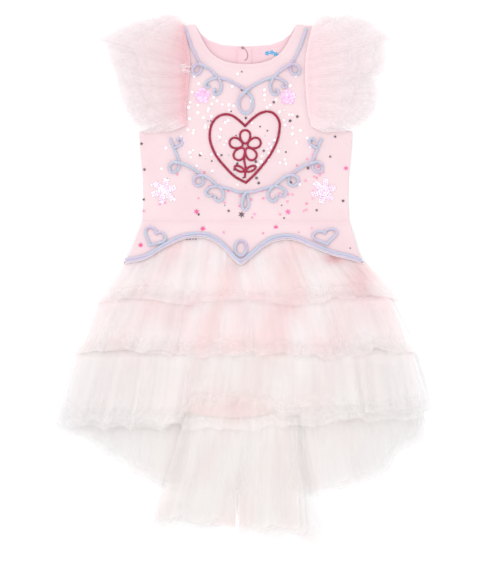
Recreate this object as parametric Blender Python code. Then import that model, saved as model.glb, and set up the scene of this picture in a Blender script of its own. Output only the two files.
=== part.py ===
# A girl's tulle dress, laid flat on its back on a table with its front up.
# X runs to the right, Y to the neck and Z up from the table. Sizes are in millimetres
# and become metres where a mesh is made.
from collections import namedtuple
from math import atan2, cos, hypot, pi, sin

import bmesh
import bpy
from mathutils import Vector
from mathutils.geometry import delaunay_2d_cdt

MM = 0.001

# Cloth and cord
SEAM_GAP = 0.3
JERSEY = 1.6
TULLE = 1.5
LINING = 1.2
CORD_RADIUS = 1.4
BEADED_LINE_RADIUS = 1.1
CORD_SIDES = 4
CORD_CLEARANCE = 0.8

# Places along the dress, measured from its middle
BODICE_MIDDLE_X = 4.0
WAIST_SEAM_Y = 77.0
BACK_YOKE_HEM_Y = 26.0
LINING_TOP_Y = 15.0
FRONT_LINING_HEM_Y = -194.0
BACK_LINING_HEM_Y = -176.0
BACK_OPENING_X = 2.0

# How the front stands up from the back
FRONT_REST = 1.9
FRONT_CROWN = 2.5
CHEST_HALF_WIDTH = 150.0
SKIRT_STACK_LOW = 2.6
SKIRT_STACK_HIGH = 7.4
FRONT_STACK_LOW = 2.2
FRONT_STACK_HIGH = 10.4
TAIL_STEP = 2.8
SHINGLE_STEP = 3.9
TAIL_LIFT = 8.6
FOLD_DEEPENING = 1.4
YOKE_OVER_GATHERS = 4.3

COLOURS = {
    "jersey": (0.96, 0.72, 0.78),
    "tulle": (0.96, 0.88, 0.88),
    "lining": (0.96, 0.76, 0.78),
    "cord": (0.48, 0.56, 0.83),
    "beads": (0.50, 0.01, 0.07),
}

Edge = namedtuple("Edge", "x y")
Turn = namedtuple("Turn", "x y lift")
Fold = namedtuple("Fold", "place height reach")
Tier = namedtuple("Tier", "name top hem folds seed rows level low high ragged")

# Left half of the bodice, from the underarm round the armhole to the shoulder
ARMHOLE = [
    Edge(-145, 202), Edge(-132, 205), Edge(-108, 216), Edge(-93, 234),
    Edge(-86, 259), Edge(-84, 291), Edge(-87, 318), Edge(-92, 350),
]
FRONT_NECK = [
    Edge(-67, 353), Edge(-62, 342), Edge(-50, 320), Edge(-38, 308), Edge(-20, 300),
]
FRONT_NECK_BOTTOM = Edge(BODICE_MIDDLE_X, 297.5)
BACK_NECK = [Edge(-67, 353), Edge(-59, 340), Edge(-48, 331), Edge(-30, 324.5)]
BACK_NECK_BOTTOM = Edge(BODICE_MIDDLE_X, 322)
SIDE_SEAM = [Edge(-141, WAIST_SEAM_Y), Edge(-139, 103), Edge(-139.5, 135), Edge(-143, 172)]

# Lower edge of the hip yoke, two lobes that dip to a point in the middle
SCALLOP = [
    Edge(-167, 18), Edge(-138, 24), Edge(-113, 39), Edge(-93, 49), Edge(-76, 54),
    Edge(-52, 54), Edge(-31, 43), Edge(-15, 26), Edge(-3, 17), Edge(10, 26),
    Edge(31, 43), Edge(50, 51), Edge(72, 51), Edge(98, 41), Edge(125, 30),
    Edge(150, 24), Edge(168, 18),
]
YOKE_SIDE_LEFT = [Edge(-156, 35), Edge(-148, 58)]
YOKE_SIDE_RIGHT = [Edge(160, 35), Edge(154, 58)]

# Hems of the tiers that show from the front
FIRST_HEM = [
    Edge(-207, -33), Edge(-144, -30), Edge(-74, -38), Edge(0, -34), Edge(80, -38),
    Edge(150, -28), Edge(227, -33),
]
SECOND_TOP = [Edge(-193, -20), Edge(0, -16), Edge(200, -20)]
SECOND_HEM = [
    Edge(-239, -107), Edge(-172, -103), Edge(-102, -112), Edge(0, -107),
    Edge(94, -112), Edge(178, -103), Edge(246, -108),
]
THIRD_TOP = [Edge(-226, -92), Edge(0, -88), Edge(234, -92)]
THIRD_HEM = [
    Edge(-264, -197), Edge(-235, -203), Edge(-172, -205), Edge(-94, -202),
    Edge(-70, -181), Edge(0, -178), Edge(29, -181), Edge(63, -192), Edge(136, -196),
    Edge(220, -192), Edge(264, -186),
]
BOWL_TOP = [Edge(-246, -170), Edge(0, -170), Edge(250, -170)]
BOWL_HEM = [
    Edge(-263, -208), Edge(-200, -249), Edge(-120, -294), Edge(-60, -303), Edge(0, -306),
    Edge(60, -307), Edge(112, -308), Edge(157, -296), Edge(204, -276), Edge(222, -250),
    Edge(257, -232), Edge(255, -206),
]
TAIL_TOP = [Edge(-76, -178), Edge(0, -178), Edge(76, -178)]
TAIL_HEM = [
    Edge(-127, -341), Edge(-60, -352), Edge(-11, -350), Edge(14, -363), Edge(96, -370),
    Edge(115, -356),
]
BACK_FIRST_TOP = [Edge(-160, BACK_YOKE_HEM_Y - SEAM_GAP), Edge(165, BACK_YOKE_HEM_Y - SEAM_GAP)]
BACK_FIRST_HEM = [Edge(-204, -33), Edge(220, -33)]
BACK_SECOND_TOP = [Edge(-186, -16), Edge(196, -16)]
BACK_SECOND_HEM = [Edge(-236, -104), Edge(240, -104)]
BACK_THIRD_TOP = [Edge(-222, -88), Edge(230, -88)]
BACK_THIRD_HEM = [Edge(-262, -188), Edge(262, -188)]

# Sleeves: the gathered root on the armhole and the ragged outer edge
SLEEVE_LEFT_ROOT = [
    Edge(-87, 352), Edge(-80, 316), Edge(-77, 291), Edge(-79, 259), Edge(-80, 230),
    Edge(-79, 212),
]
SLEEVE_LEFT_HEM = [
    Edge(-92, 366), Edge(-112, 370), Edge(-124, 364), Edge(-151, 362), Edge(-174, 351),
    Edge(-206, 337), Edge(-197, 328), Edge(-189, 295), Edge(-177, 259), Edge(-167, 230),
    Edge(-153, 211), Edge(-133, 201), Edge(-100, 203),
]
SLEEVE_RIGHT_ROOT = [
    Edge(97, 351), Edge(89, 316), Edge(87, 291), Edge(88, 259), Edge(91, 230),
    Edge(96, 210),
]
SLEEVE_RIGHT_HEM = [
    Edge(104, 362), Edge(114, 368), Edge(129, 363), Edge(147, 368), Edge(165, 363),
    Edge(190, 354), Edge(215, 340), Edge(205, 328), Edge(205, 292), Edge(189, 280),
    Edge(194, 260), Edge(187, 230), Edge(163, 210), Edge(140, 202), Edge(112, 202),
]
BACK_SLEEVE_SHARE = 0.93
UPPER_FRILL_SHARE = 0.8
BACK_FRILL_OFFSET = 2.2
LOWER_FRILL_LIFT = 6.2
UPPER_FRILL_ROOT = 9.0
UPPER_FRILL_HEM = 14.6

# Cord work on the left half, from the shoulder to the middle and from the side to the middle
NECK_SCROLL = [
    Turn(-81, 348, 0), Turn(-73, 324, 0), Turn(-64, 305, 0), Turn(-58, 294, 0),
    Turn(-61, 285, 0), Turn(-68, 283, 0), Turn(-71, 290, 1.6), Turn(-64, 297, 3.4),
    Turn(-55, 295, 3.0), Turn(-44, 288, 0), Turn(-34, 278, 0), Turn(-30, 266, 0),
    Turn(-35, 256, 0), Turn(-44, 256, 0), Turn(-47, 265, 0), Turn(-42, 274, 1.8),
    Turn(-33, 278.5, 3.4), Turn(-24, 276, 2.4), Turn(-13, 271, 0), Turn(-3, 265, 0),
]
NECK_DROP = [
    Turn(5, 259, 0), Turn(12, 251, 0), Turn(14, 241, 0), Turn(11, 232, 0),
    Turn(4, 228.5, 0), Turn(-3, 232, 0), Turn(-6, 241, 0), Turn(-4, 251, 1.8),
    Turn(4, 259, 3.6),
]
WAIST_SCROLL = [
    Turn(-102, 194, 0), Turn(-97, 181, 0), Turn(-92, 169, 0), Turn(-89, 157, 0),
    Turn(-93, 148, 0), Turn(-101, 147, 0), Turn(-103, 155, 0), Turn(-97, 160, 1.8),
    Turn(-88, 159, 3.4), Turn(-77, 155, 2.2), Turn(-66, 148, 0), Turn(-57, 140, 0),
    Turn(-56, 131, 0), Turn(-63, 127, 0), Turn(-69, 133, 0), Turn(-66, 140, 1.8),
    Turn(-57, 142, 3.4), Turn(-47, 137, 2.2), Turn(-38, 130, 0), Turn(-31, 122, 0),
    Turn(-31, 111, 0), Turn(-39, 104, 0), Turn(-48, 109, 0), Turn(-47, 119, 0),
    Turn(-40, 125, 1.8), Turn(-31, 126, 3.4), Turn(-20, 123, 2.0), Turn(-8, 119, 0),
]
WAIST_DROP = [
    Turn(4, 116, 0), Turn(10, 107, 0), Turn(10, 97, 0), Turn(4, 91, 0),
    Turn(-2, 97, 0), Turn(-3, 107, 1.8), Turn(4, 116, 3.6),
]
EDGE_CORD_RISE = 6.0
HEART = {"x": 3.0, "tip": 131.6, "width": 96.0, "height": 97.0, "turn": -0.04, "points": 36}
HIP_HEARTS = {
    "hip_heart_left": {"x": -126.0, "tip": 48.0, "width": 34.0, "height": 21.0, "turn": 0.12, "points": 22},
    "hip_heart_right": {"x": 116.0, "tip": 51.0, "width": 34.0, "height": 19.0, "turn": -0.12, "points": 22},
}
HIP_LOOP = {"x": -3.0, "y": 40.0, "half_width": 8.0, "half_height": 10.5, "points": 16}


def smooth_step(start, end, value):
    share = min(1.0, max(0.0, (value - start) / (end - start)))
    return share * share * (3 - 2 * share)


def mirrored(points):
    return [point._replace(x=2 * BODICE_MIDDLE_X - point.x) for point in reversed(points)]


def front_height(x, y):
    """Underside of the front bodice, a low crown over the back."""
    share = (x - BODICE_MIDDLE_X) / CHEST_HALF_WIDTH
    return FRONT_REST + FRONT_CROWN * max(0.0, 1 - share * share)


def stack_height(y):
    """Top of the back tiers, on which the back lining lies."""
    rise = smooth_step(20, -10, y)
    return SKIRT_STACK_LOW + (SKIRT_STACK_HIGH - SKIRT_STACK_LOW) * rise


def tail_step(y):
    """Extra height over the gathered top of the tail."""
    return TAIL_STEP * smooth_step(-100, -145, y)


def front_stack_height(y):
    """Underside of a front tier at its gathered top."""
    rise = smooth_step(45, -4, y)
    return FRONT_STACK_LOW + (FRONT_STACK_HIGH - FRONT_STACK_LOW) * rise + tail_step(y)


def yoke_height(x, y):
    """Underside of the hip yoke, from the waist seam over the gathered tulle."""
    share = smooth_step(WAIST_SEAM_Y, 58, y)
    return front_height(x, y) * (1 - share) + (front_stack_height(y) + YOKE_OVER_GATHERS) * share


def front_surface(x, y):
    """Top of the bodice or yoke, on which cord and beads lie."""
    height = front_height(x, y) if y > WAIST_SEAM_Y else yoke_height(x, y)
    return height + JERSEY


def front_level(rise):
    """Level of a front tier: it climbs over the top of the tier below it."""
    def level(x, y, share):
        return front_stack_height(y) + rise * smooth_step(0.2, 0.8, share)
    return level


def shingle_level(covered_hem_y, step):
    """Level of a tier that lies on the hem of another and then drops to the table."""
    def level(x, y, share):
        return step * smooth_step(covered_hem_y - 18, covered_hem_y - 6, y)
    return level


def table_level(x, y, share):
    return 0.0


def sloped_level(root, hem):
    def level(x, y, share):
        return root + (hem - root) * share
    return level


def material(name):
    made = bpy.data.materials.get(name)
    if made is None:
        made = bpy.data.materials.new(name)
        made.use_nodes = True
        shader = made.node_tree.nodes["Principled BSDF"]
        shader.inputs["Base Color"].default_value = (*COLOURS[name], 1.0)
        shader.inputs["Roughness"].default_value = 0.35 if name == "beads" else 0.85
        shader.inputs["Metallic"].default_value = 0.0
    return made


def node(name, points, faces, finish):
    """Makes one sub-part from points in millimetres and hangs it on the dress."""
    mesh = bpy.data.meshes.new(name)
    mesh.from_pydata([Vector(point) * MM for point in points], [], faces)
    work = bmesh.new()
    work.from_mesh(mesh)
    bmesh.ops.recalc_face_normals(work, faces=work.faces[:])
    bmesh.ops.triangulate(work, faces=work.faces[:])
    work.to_mesh(mesh)
    work.free()
    mesh.shade_smooth()
    mesh.set_sharp_from_angle(angle=pi / 3)
    mesh.materials.append(material(finish))
    made = bpy.data.objects.new(name, mesh)
    bpy.context.scene.collection.objects.link(made)
    made.parent = dress
    return made


def along(points, share):
    """The point at a share of the length of a run of straight stretches."""
    lengths = [hypot(b.x - a.x, b.y - a.y) for a, b in zip(points, points[1:])]
    left = share * sum(lengths)
    for a, b, length in zip(points, points[1:], lengths):
        if left <= length:
            step = left / length
            return Edge(a.x + (b.x - a.x) * step, a.y + (b.y - a.y) * step)
        left -= length
    return points[-1]


def between(a, b, share):
    return Edge(a.x + (b.x - a.x) * share, a.y + (b.y - a.y) * share)


def folds_across(count, seed):
    """Four columns a fold, of uneven width, height and reach."""
    widths = [1 + 0.35 * sin(2.4 * k + seed) + 0.2 * sin(5.1 * k + 2 * seed) for k in range(count)]
    columns = []
    start = 0.0
    for k, width in enumerate(widths):
        crest = 0.74 + 0.26 * sin(1.7 * k + 1.3 * seed)
        for quarter, share in enumerate((0.0, 0.55, 1.0, 0.55)):
            place = (start + width * quarter / 4) / sum(widths)
            columns.append(Fold(place, crest * share, share * sin(3.1 * k + seed)))
        start += width
    columns.append(Fold(1.0, 0.0, 0.0))
    return columns


def ruffle(tier, thickness, finish):
    """A gathered piece from its sewn top edge to its free hem, with folds that deepen."""
    columns = folds_across(tier.folds, tier.seed)
    under = []
    for fold in columns:
        top = along(tier.top, fold.place)
        hem = along(tier.hem, fold.place)
        for share in tier.rows:
            spot = between(top, hem, share * (1 + tier.ragged * fold.reach))
            depth = tier.low + (tier.high - tier.low) * share ** FOLD_DEEPENING
            under.append((spot.x, spot.y, tier.level(spot.x, spot.y, share) + depth * fold.height))
    rows = len(tier.rows)
    over = [(x, y, z + thickness) for x, y, z in under]
    total = len(under)
    faces = []
    for column in range(len(columns) - 1):
        for row in range(rows - 1):
            a = column * rows + row
            quad = (a, a + 1, a + 1 + rows, a + rows)
            faces.append(quad)
            faces.append(tuple(total + corner for corner in reversed(quad)))
    rim = [row for row in range(rows)]
    rim += [column * rows + rows - 1 for column in range(1, len(columns))]
    rim += [(len(columns) - 1) * rows + row for row in range(rows - 2, -1, -1)]
    rim += [column * rows for column in range(len(columns) - 2, 0, -1)]
    for a, b in zip(rim, rim[1:] + rim[:1]):
        faces.append((a, b, total + b, total + a))
    return node(tier.name, under + over, faces, finish)


def inside(outline, x, y):
    crossings = 0
    for a, b in zip(outline, outline[1:] + outline[:1]):
        if (a.y > y) != (b.y > y) and x < a.x + (y - a.y) * (b.x - a.x) / (b.y - a.y):
            crossings += 1
    return crossings % 2 == 1


def clear_of_edge(outline, x, y, distance):
    for a, b in zip(outline, outline[1:] + outline[:1]):
        span = Vector((b.x - a.x, b.y - a.y))
        offset = Vector((x - a.x, y - a.y))
        share = min(1.0, max(0.0, offset.dot(span) / span.length_squared))
        if (offset - span * share).length < distance:
            return False
    return True


def split_edges(outline, longest):
    """The outline with extra points on stretches longer than the given length."""
    points = []
    for a, b in zip(outline, outline[1:] + outline[:1]):
        steps = max(1, round(hypot(b.x - a.x, b.y - a.y) / longest))
        points += [between(a, b, step / steps) for step in range(steps)]
    return points


def panel(name, outline, height, thickness, spacing, finish):
    """A flat-cut panel of jersey that follows a height, inside its outline."""
    edge = split_edges(outline, spacing)
    low_x = min(point.x for point in edge)
    high_x = max(point.x for point in edge)
    low_y = min(point.y for point in edge)
    high_y = max(point.y for point in edge)
    spots = [Vector((point.x, point.y)) for point in edge]
    for column in range(1, int((high_x - low_x) / spacing) + 1):
        for row in range(1, int((high_y - low_y) / spacing) + 1):
            x = low_x + column * spacing
            y = low_y + row * spacing
            if inside(edge, x, y) and clear_of_edge(edge, x, y, 0.45 * spacing):
                spots.append(Vector((x, y)))
    ring = list(range(len(edge)))
    found = delaunay_2d_cdt(spots, [], [ring], 1, 0.001)
    flat, triangles = found[0], found[2]
    under = [(spot.x, spot.y, height(spot.x, spot.y)) for spot in flat]
    over = [(x, y, z + thickness) for x, y, z in under]
    total = len(under)
    faces = [tuple(triangle) for triangle in triangles]
    faces += [tuple(total + corner for corner in reversed(triangle)) for triangle in triangles]
    for a, b in zip(ring, ring[1:] + ring[:1]):
        faces.append((a, b, total + b, total + a))
    return node(name, under + over, faces, finish)


def rounded(points, closed, spacing):
    """Evenly spaced points on a smooth curve through a route's own points."""
    count = len(points)
    fine = []
    steps = 12
    for index in range(count if closed else count - 1):
        if closed:
            a, b, c, d = (points[(index + offset) % count] for offset in (-1, 0, 1, 2))
        else:
            a, b = points[max(index - 1, 0)], points[index]
            c, d = points[index + 1], points[min(index + 2, count - 1)]
        for step in range(steps):
            t = step / steps
            fine.append(0.5 * (2 * b + (c - a) * t + (2 * a - 5 * b + 4 * c - d) * t ** 2
                               + (3 * b - a - 3 * c + d) * t ** 3))
    fine.append(points[0].copy() if closed else points[-1].copy())
    lengths = [(b - a).length for a, b in zip(fine, fine[1:])]
    pieces = max(6, round(sum(lengths) / spacing))
    even = []
    target = 0.0
    passed = 0.0
    for a, b, length in zip(fine, fine[1:], lengths):
        while target <= passed + length + 1e-6 and len(even) <= pieces:
            even.append(a.lerp(b, (target - passed) / max(length, 1e-9)))
            target += sum(lengths) / pieces
        passed += length
    return even[:-1] if closed else even


def cord(name, route, radius, spacing, closed, finish):
    """A tube laid on the front along a route of turns, humped where it crosses itself."""
    laid = []
    for turn in rounded([Vector((turn.x, turn.y, turn.lift)) for turn in route], closed, spacing):
        base = front_surface(turn.x, turn.y)
        laid.append(Vector((turn.x, turn.y, base + turn.z + radius + CORD_CLEARANCE)))
    count = len(laid)
    points = []
    for index, spot in enumerate(laid):
        before = laid[index - 1] if closed else laid[max(index - 1, 0)]
        after = laid[(index + 1) % count] if closed else laid[min(index + 1, count - 1)]
        heading = atan2(after.y - before.y, after.x - before.x)
        side = Vector((-sin(heading), cos(heading), 0))
        for corner in range(CORD_SIDES):
            turn = 2 * pi * corner / CORD_SIDES + pi / 2
            points.append(spot + radius * (cos(turn) * side + sin(turn) * Vector((0, 0, 1))))
    faces = []
    for index in range(count if closed else count - 1):
        follow = (index + 1) % count
        for corner in range(CORD_SIDES):
            other = (corner + 1) % CORD_SIDES
            faces.append((index * CORD_SIDES + corner, index * CORD_SIDES + other,
                          follow * CORD_SIDES + other, follow * CORD_SIDES + corner))
    if not closed:
        faces.append(tuple(range(CORD_SIDES)))
        faces.append(tuple((count - 1) * CORD_SIDES + corner for corner in range(CORD_SIDES)))
    return node(name, points, faces, finish)


def heart_route(heart):
    """A closed heart from its tip, width and height."""
    route = []
    for index in range(heart["points"]):
        turn = 2 * pi * index / heart["points"]
        across = sin(turn) ** 3 * heart["width"] / 2
        up = 13 * cos(turn) - 5 * cos(2 * turn) - 2 * cos(3 * turn) - cos(4 * turn)
        up = (up + 17) / 29 * heart["height"]
        tilt = heart["turn"]
        route.append(Turn(heart["x"] + across * cos(tilt) + up * sin(tilt),
                          heart["tip"] + up * cos(tilt) - across * sin(tilt), 0))
    return route


def build_bodice():
    """Front, two back halves that meet at the opening, and the strip behind it."""
    side_left = SIDE_SEAM
    side_right = mirrored(SIDE_SEAM)
    front = side_left + ARMHOLE + FRONT_NECK + [FRONT_NECK_BOTTOM]
    front += mirrored(FRONT_NECK) + mirrored(ARMHOLE) + side_right
    panel("bodice_front", front, front_height, JERSEY, 27, "jersey")
    seam = SEAM_GAP / 2
    middle_left = BACK_OPENING_X - seam
    middle_right = BACK_OPENING_X + seam
    left = side_left + ARMHOLE + BACK_NECK
    left += [Edge(middle_left, BACK_NECK_BOTTOM.y), Edge(middle_left, WAIST_SEAM_Y)]
    right = [Edge(middle_right, WAIST_SEAM_Y), Edge(middle_right, BACK_NECK_BOTTOM.y)]
    right += mirrored(BACK_NECK) + mirrored(ARMHOLE) + side_right
    panel("bodice_back_left", left, lambda x, y: 0.0, JERSEY, 40, "jersey")
    panel("bodice_back_right", right, lambda x, y: 0.0, JERSEY, 40, "jersey")
    strip = [Edge(-8, 172), Edge(12, 172), Edge(12, 321), Edge(-8, 321)]
    panel("back_opening_strip", strip, lambda x, y: JERSEY + SEAM_GAP, 1.0, 60, "jersey")


def build_yoke():
    """Shaped hip yoke in front, straight one behind, 0.3 mm from the waist seam."""
    top = WAIST_SEAM_Y - SEAM_GAP
    front = [Edge(-141, top)] + [Edge(149, top)] + list(reversed(YOKE_SIDE_RIGHT))
    front += list(reversed(SCALLOP)) + YOKE_SIDE_LEFT
    panel("yoke_front", front, yoke_height, JERSEY, 16, "jersey")
    back = [Edge(-141, top), Edge(149, top), Edge(154, 58), Edge(160, BACK_YOKE_HEM_Y)]
    back += [Edge(-158, BACK_YOKE_HEM_Y), Edge(-148, 58)]
    panel("yoke_back", back, lambda x, y: 0.0, JERSEY, 60, "jersey")


def build_skirt():
    """Lining, tiers behind on the table, tiers in front over the lining."""
    lining_top = [Edge(-158, LINING_TOP_Y), Edge(160, LINING_TOP_Y)]
    front_rows = (0.0, 0.3, 0.6, 0.8, 1.0)
    shingle_rows = (0.0, 0.24, 0.42, 1.0)
    gathered_under_yoke = [edge._replace(y=edge.y + 11) for edge in SCALLOP]
    tiers = [
        Tier("back_tier_1", BACK_FIRST_TOP, BACK_FIRST_HEM, 9, 0.4, (0.0, 0.5, 1.0),
             table_level, 0.5, 2.0, 0.02),
        Tier("back_tier_2", BACK_SECOND_TOP, BACK_SECOND_HEM, 10, 1.9, shingle_rows,
             shingle_level(-33, SHINGLE_STEP), 0.5, 2.0, 0.02),
        Tier("back_tier_3", BACK_THIRD_TOP, BACK_THIRD_HEM, 11, 3.2, shingle_rows,
             shingle_level(-104, SHINGLE_STEP), 0.5, 2.0, 0.01),
        Tier("back_tier_4", BOWL_TOP, BOWL_HEM, 22, 0.9, (0.0, 0.16, 0.3, 0.55, 0.8, 1.0),
             shingle_level(-188, SHINGLE_STEP), 0.8, 4.6, 0.02),
        Tier("back_tail", TAIL_TOP, TAIL_HEM, 9, 2.2, (0.0, 0.3, 0.55, 0.76, 0.88, 1.0),
             shingle_level(-310, TAIL_LIFT), 0.6, 4.5, 0.02),
        Tier("front_tier_3", THIRD_TOP, THIRD_HEM, 24, 1.1, front_rows,
             front_level(4.0), 0.8, 10.0, 0.03),
        Tier("front_tier_2", SECOND_TOP, SECOND_HEM, 22, 2.7, front_rows,
             front_level(9.0), 0.8, 10.0, 0.03),
        Tier("front_tier_1", gathered_under_yoke, FIRST_HEM, 18, 0.2, front_rows,
             front_level(9.0), 0.8, 9.0, 0.04),
    ]
    for tier in tiers:
        ruffle(tier, TULLE, "tulle")
    plain_rows = (0.0, 0.1, 0.22, 0.5, 0.65, 0.8, 1.0)
    back_hem = [Edge(-212, BACK_LINING_HEM_Y), Edge(216, BACK_LINING_HEM_Y)]
    front_hem = [Edge(-216, FRONT_LINING_HEM_Y), Edge(220, FRONT_LINING_HEM_Y)]
    ruffle(Tier("lining_back", lining_top, back_hem, 3, 0.0, plain_rows,
                lambda x, y, share: stack_height(y), 0.0, 0.0, 0.0), LINING, "lining")
    ruffle(Tier("lining_front", lining_top, front_hem, 3, 0.0, plain_rows,
                lambda x, y, share: stack_height(y) + LINING + SEAM_GAP + tail_step(y),
                0.0, 0.0, 0.0), LINING, "lining")


def build_sleeve(side, root, hem, seed):
    """Two frills over the front of the armhole and one behind it on the table."""
    rows = (0.0, 0.35, 0.7, 1.0)
    ruffle(Tier("sleeve_" + side + "_lower_frill", root, hem, 10, seed, rows,
                sloped_level(LOWER_FRILL_LIFT, LOWER_FRILL_LIFT), 1.0, 7.0, 0.03), TULLE, "tulle")
    upper = [between(along(root, k / 12), along(hem, k / 12), UPPER_FRILL_SHARE) for k in range(13)]
    ruffle(Tier("sleeve_" + side + "_upper_frill", root, upper, 8, seed + 1.5, rows,
                sloped_level(UPPER_FRILL_ROOT, UPPER_FRILL_HEM), 0.8, 6.0, 0.04), TULLE, "tulle")
    outward = -1 if side == "left" else 1
    armhole = ARMHOLE if side == "left" else mirrored(ARMHOLE)[::-1]
    back_root = [edge._replace(x=edge.x + BACK_FRILL_OFFSET * outward) for edge in reversed(armhole[2:])]
    outer = hem[:-2]
    back = [between(along(back_root, k / 8), along(outer, k / 8), BACK_SLEEVE_SHARE) for k in range(9)]
    ruffle(Tier("sleeve_" + side + "_back_frill", back_root, back, 6, seed + 3, (0.0, 0.5, 1.0),
                table_level, 0.6, 3.4, 0.02), TULLE, "tulle")


def build_cords():
    """Cord scrolls, cord along the yoke's edge, hearts and the small loop."""
    neck = NECK_SCROLL + NECK_DROP + mirrored(NECK_SCROLL)
    cord("neck_scroll_cord", neck, CORD_RADIUS, 6, False, "cord")
    waist = WAIST_SCROLL + WAIST_DROP + mirrored(WAIST_SCROLL)
    cord("waist_scroll_cord", waist, CORD_RADIUS, 6, False, "cord")
    edge = [Turn(point.x * 0.985, point.y + EDGE_CORD_RISE, 0) for point in SCALLOP]
    cord("yoke_edge_cord", edge, CORD_RADIUS, 8, False, "cord")
    for name, heart in HIP_HEARTS.items():
        cord(name, heart_route(heart), CORD_RADIUS, 5, True, "cord")
    ring = []
    for index in range(HIP_LOOP["points"]):
        turn = 2 * pi * index / HIP_LOOP["points"]
        ring.append(Turn(HIP_LOOP["x"] + HIP_LOOP["half_width"] * sin(turn),
                         HIP_LOOP["y"] + HIP_LOOP["half_height"] * cos(turn), 0))
    cord("hip_loop", ring, CORD_RADIUS, 4.5, True, "cord")
    cord("beaded_heart", heart_route(HEART), BEADED_LINE_RADIUS, 6, True, "beads")


for old in list(bpy.data.objects):
    bpy.data.objects.remove(old)
dress = bpy.data.objects.new("dress", None)
bpy.context.scene.collection.objects.link(dress)
build_bodice()
build_yoke()
build_skirt()
build_sleeve("left", SLEEVE_LEFT_ROOT, SLEEVE_LEFT_HEM, 0.7)
build_sleeve("right", SLEEVE_RIGHT_ROOT, SLEEVE_RIGHT_HEM, 2.9)
build_cords()
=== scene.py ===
import math
import random

import bmesh
import bpy
import numpy as np
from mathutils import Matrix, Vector
from mathutils.geometry import delaunay_2d_cdt


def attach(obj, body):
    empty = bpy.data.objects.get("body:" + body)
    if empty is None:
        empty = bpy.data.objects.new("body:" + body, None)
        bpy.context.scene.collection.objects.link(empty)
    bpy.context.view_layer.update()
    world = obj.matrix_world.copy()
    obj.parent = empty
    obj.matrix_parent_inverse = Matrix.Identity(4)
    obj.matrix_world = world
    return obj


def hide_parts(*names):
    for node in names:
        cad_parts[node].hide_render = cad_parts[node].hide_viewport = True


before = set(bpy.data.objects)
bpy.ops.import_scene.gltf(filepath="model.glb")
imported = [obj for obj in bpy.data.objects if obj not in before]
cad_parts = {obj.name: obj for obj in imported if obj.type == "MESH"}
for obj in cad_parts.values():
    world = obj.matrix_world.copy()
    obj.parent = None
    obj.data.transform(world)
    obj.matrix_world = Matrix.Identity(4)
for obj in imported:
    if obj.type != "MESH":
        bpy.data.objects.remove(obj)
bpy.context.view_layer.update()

mm = 0.001
print("frame loaded:", len(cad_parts), "nodes")


# Colour and material helpers

def hexColour(code):
    # sRGB hex to the linear values Blender wants
    channels = [int(code[place:place + 2], 16) / 255 for place in (1, 3, 5)]
    linear = [c / 12.92 if c <= 0.04045 else ((c + 0.055) / 1.055) ** 2.4 for c in channels]
    return (*linear, 1.0)


def addNode(tree, kind, settings=None, values=None, links=None):
    # one node with its settings, its socket values and what feeds it
    made = tree.nodes.new(kind)
    for name, value in (settings or {}).items():
        setattr(made, name, value)
    for socket, value in (values or {}).items():
        made.inputs[socket].default_value = value
    for socket, source in (links or {}).items():
        tree.links.new(source, made.inputs[socket])
    return made


def newMaterial(name, shaderValues):
    made = bpy.data.materials.new(name)
    made.use_nodes = True
    shader = made.node_tree.nodes["Principled BSDF"]
    for socket, value in shaderValues.items():
        shader.inputs[socket].default_value = value
    return made, made.node_tree, shader


def rampOf(tree, source, stops):
    made = addNode(tree, "ShaderNodeValToRGB", links={0: source})
    ramp = made.color_ramp
    while len(ramp.elements) < len(stops):
        ramp.elements.new(0.5)
    for element, (place, code) in zip(ramp.elements, stops):
        element.position = place
        element.color = hexColour(code)
    return made


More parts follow.
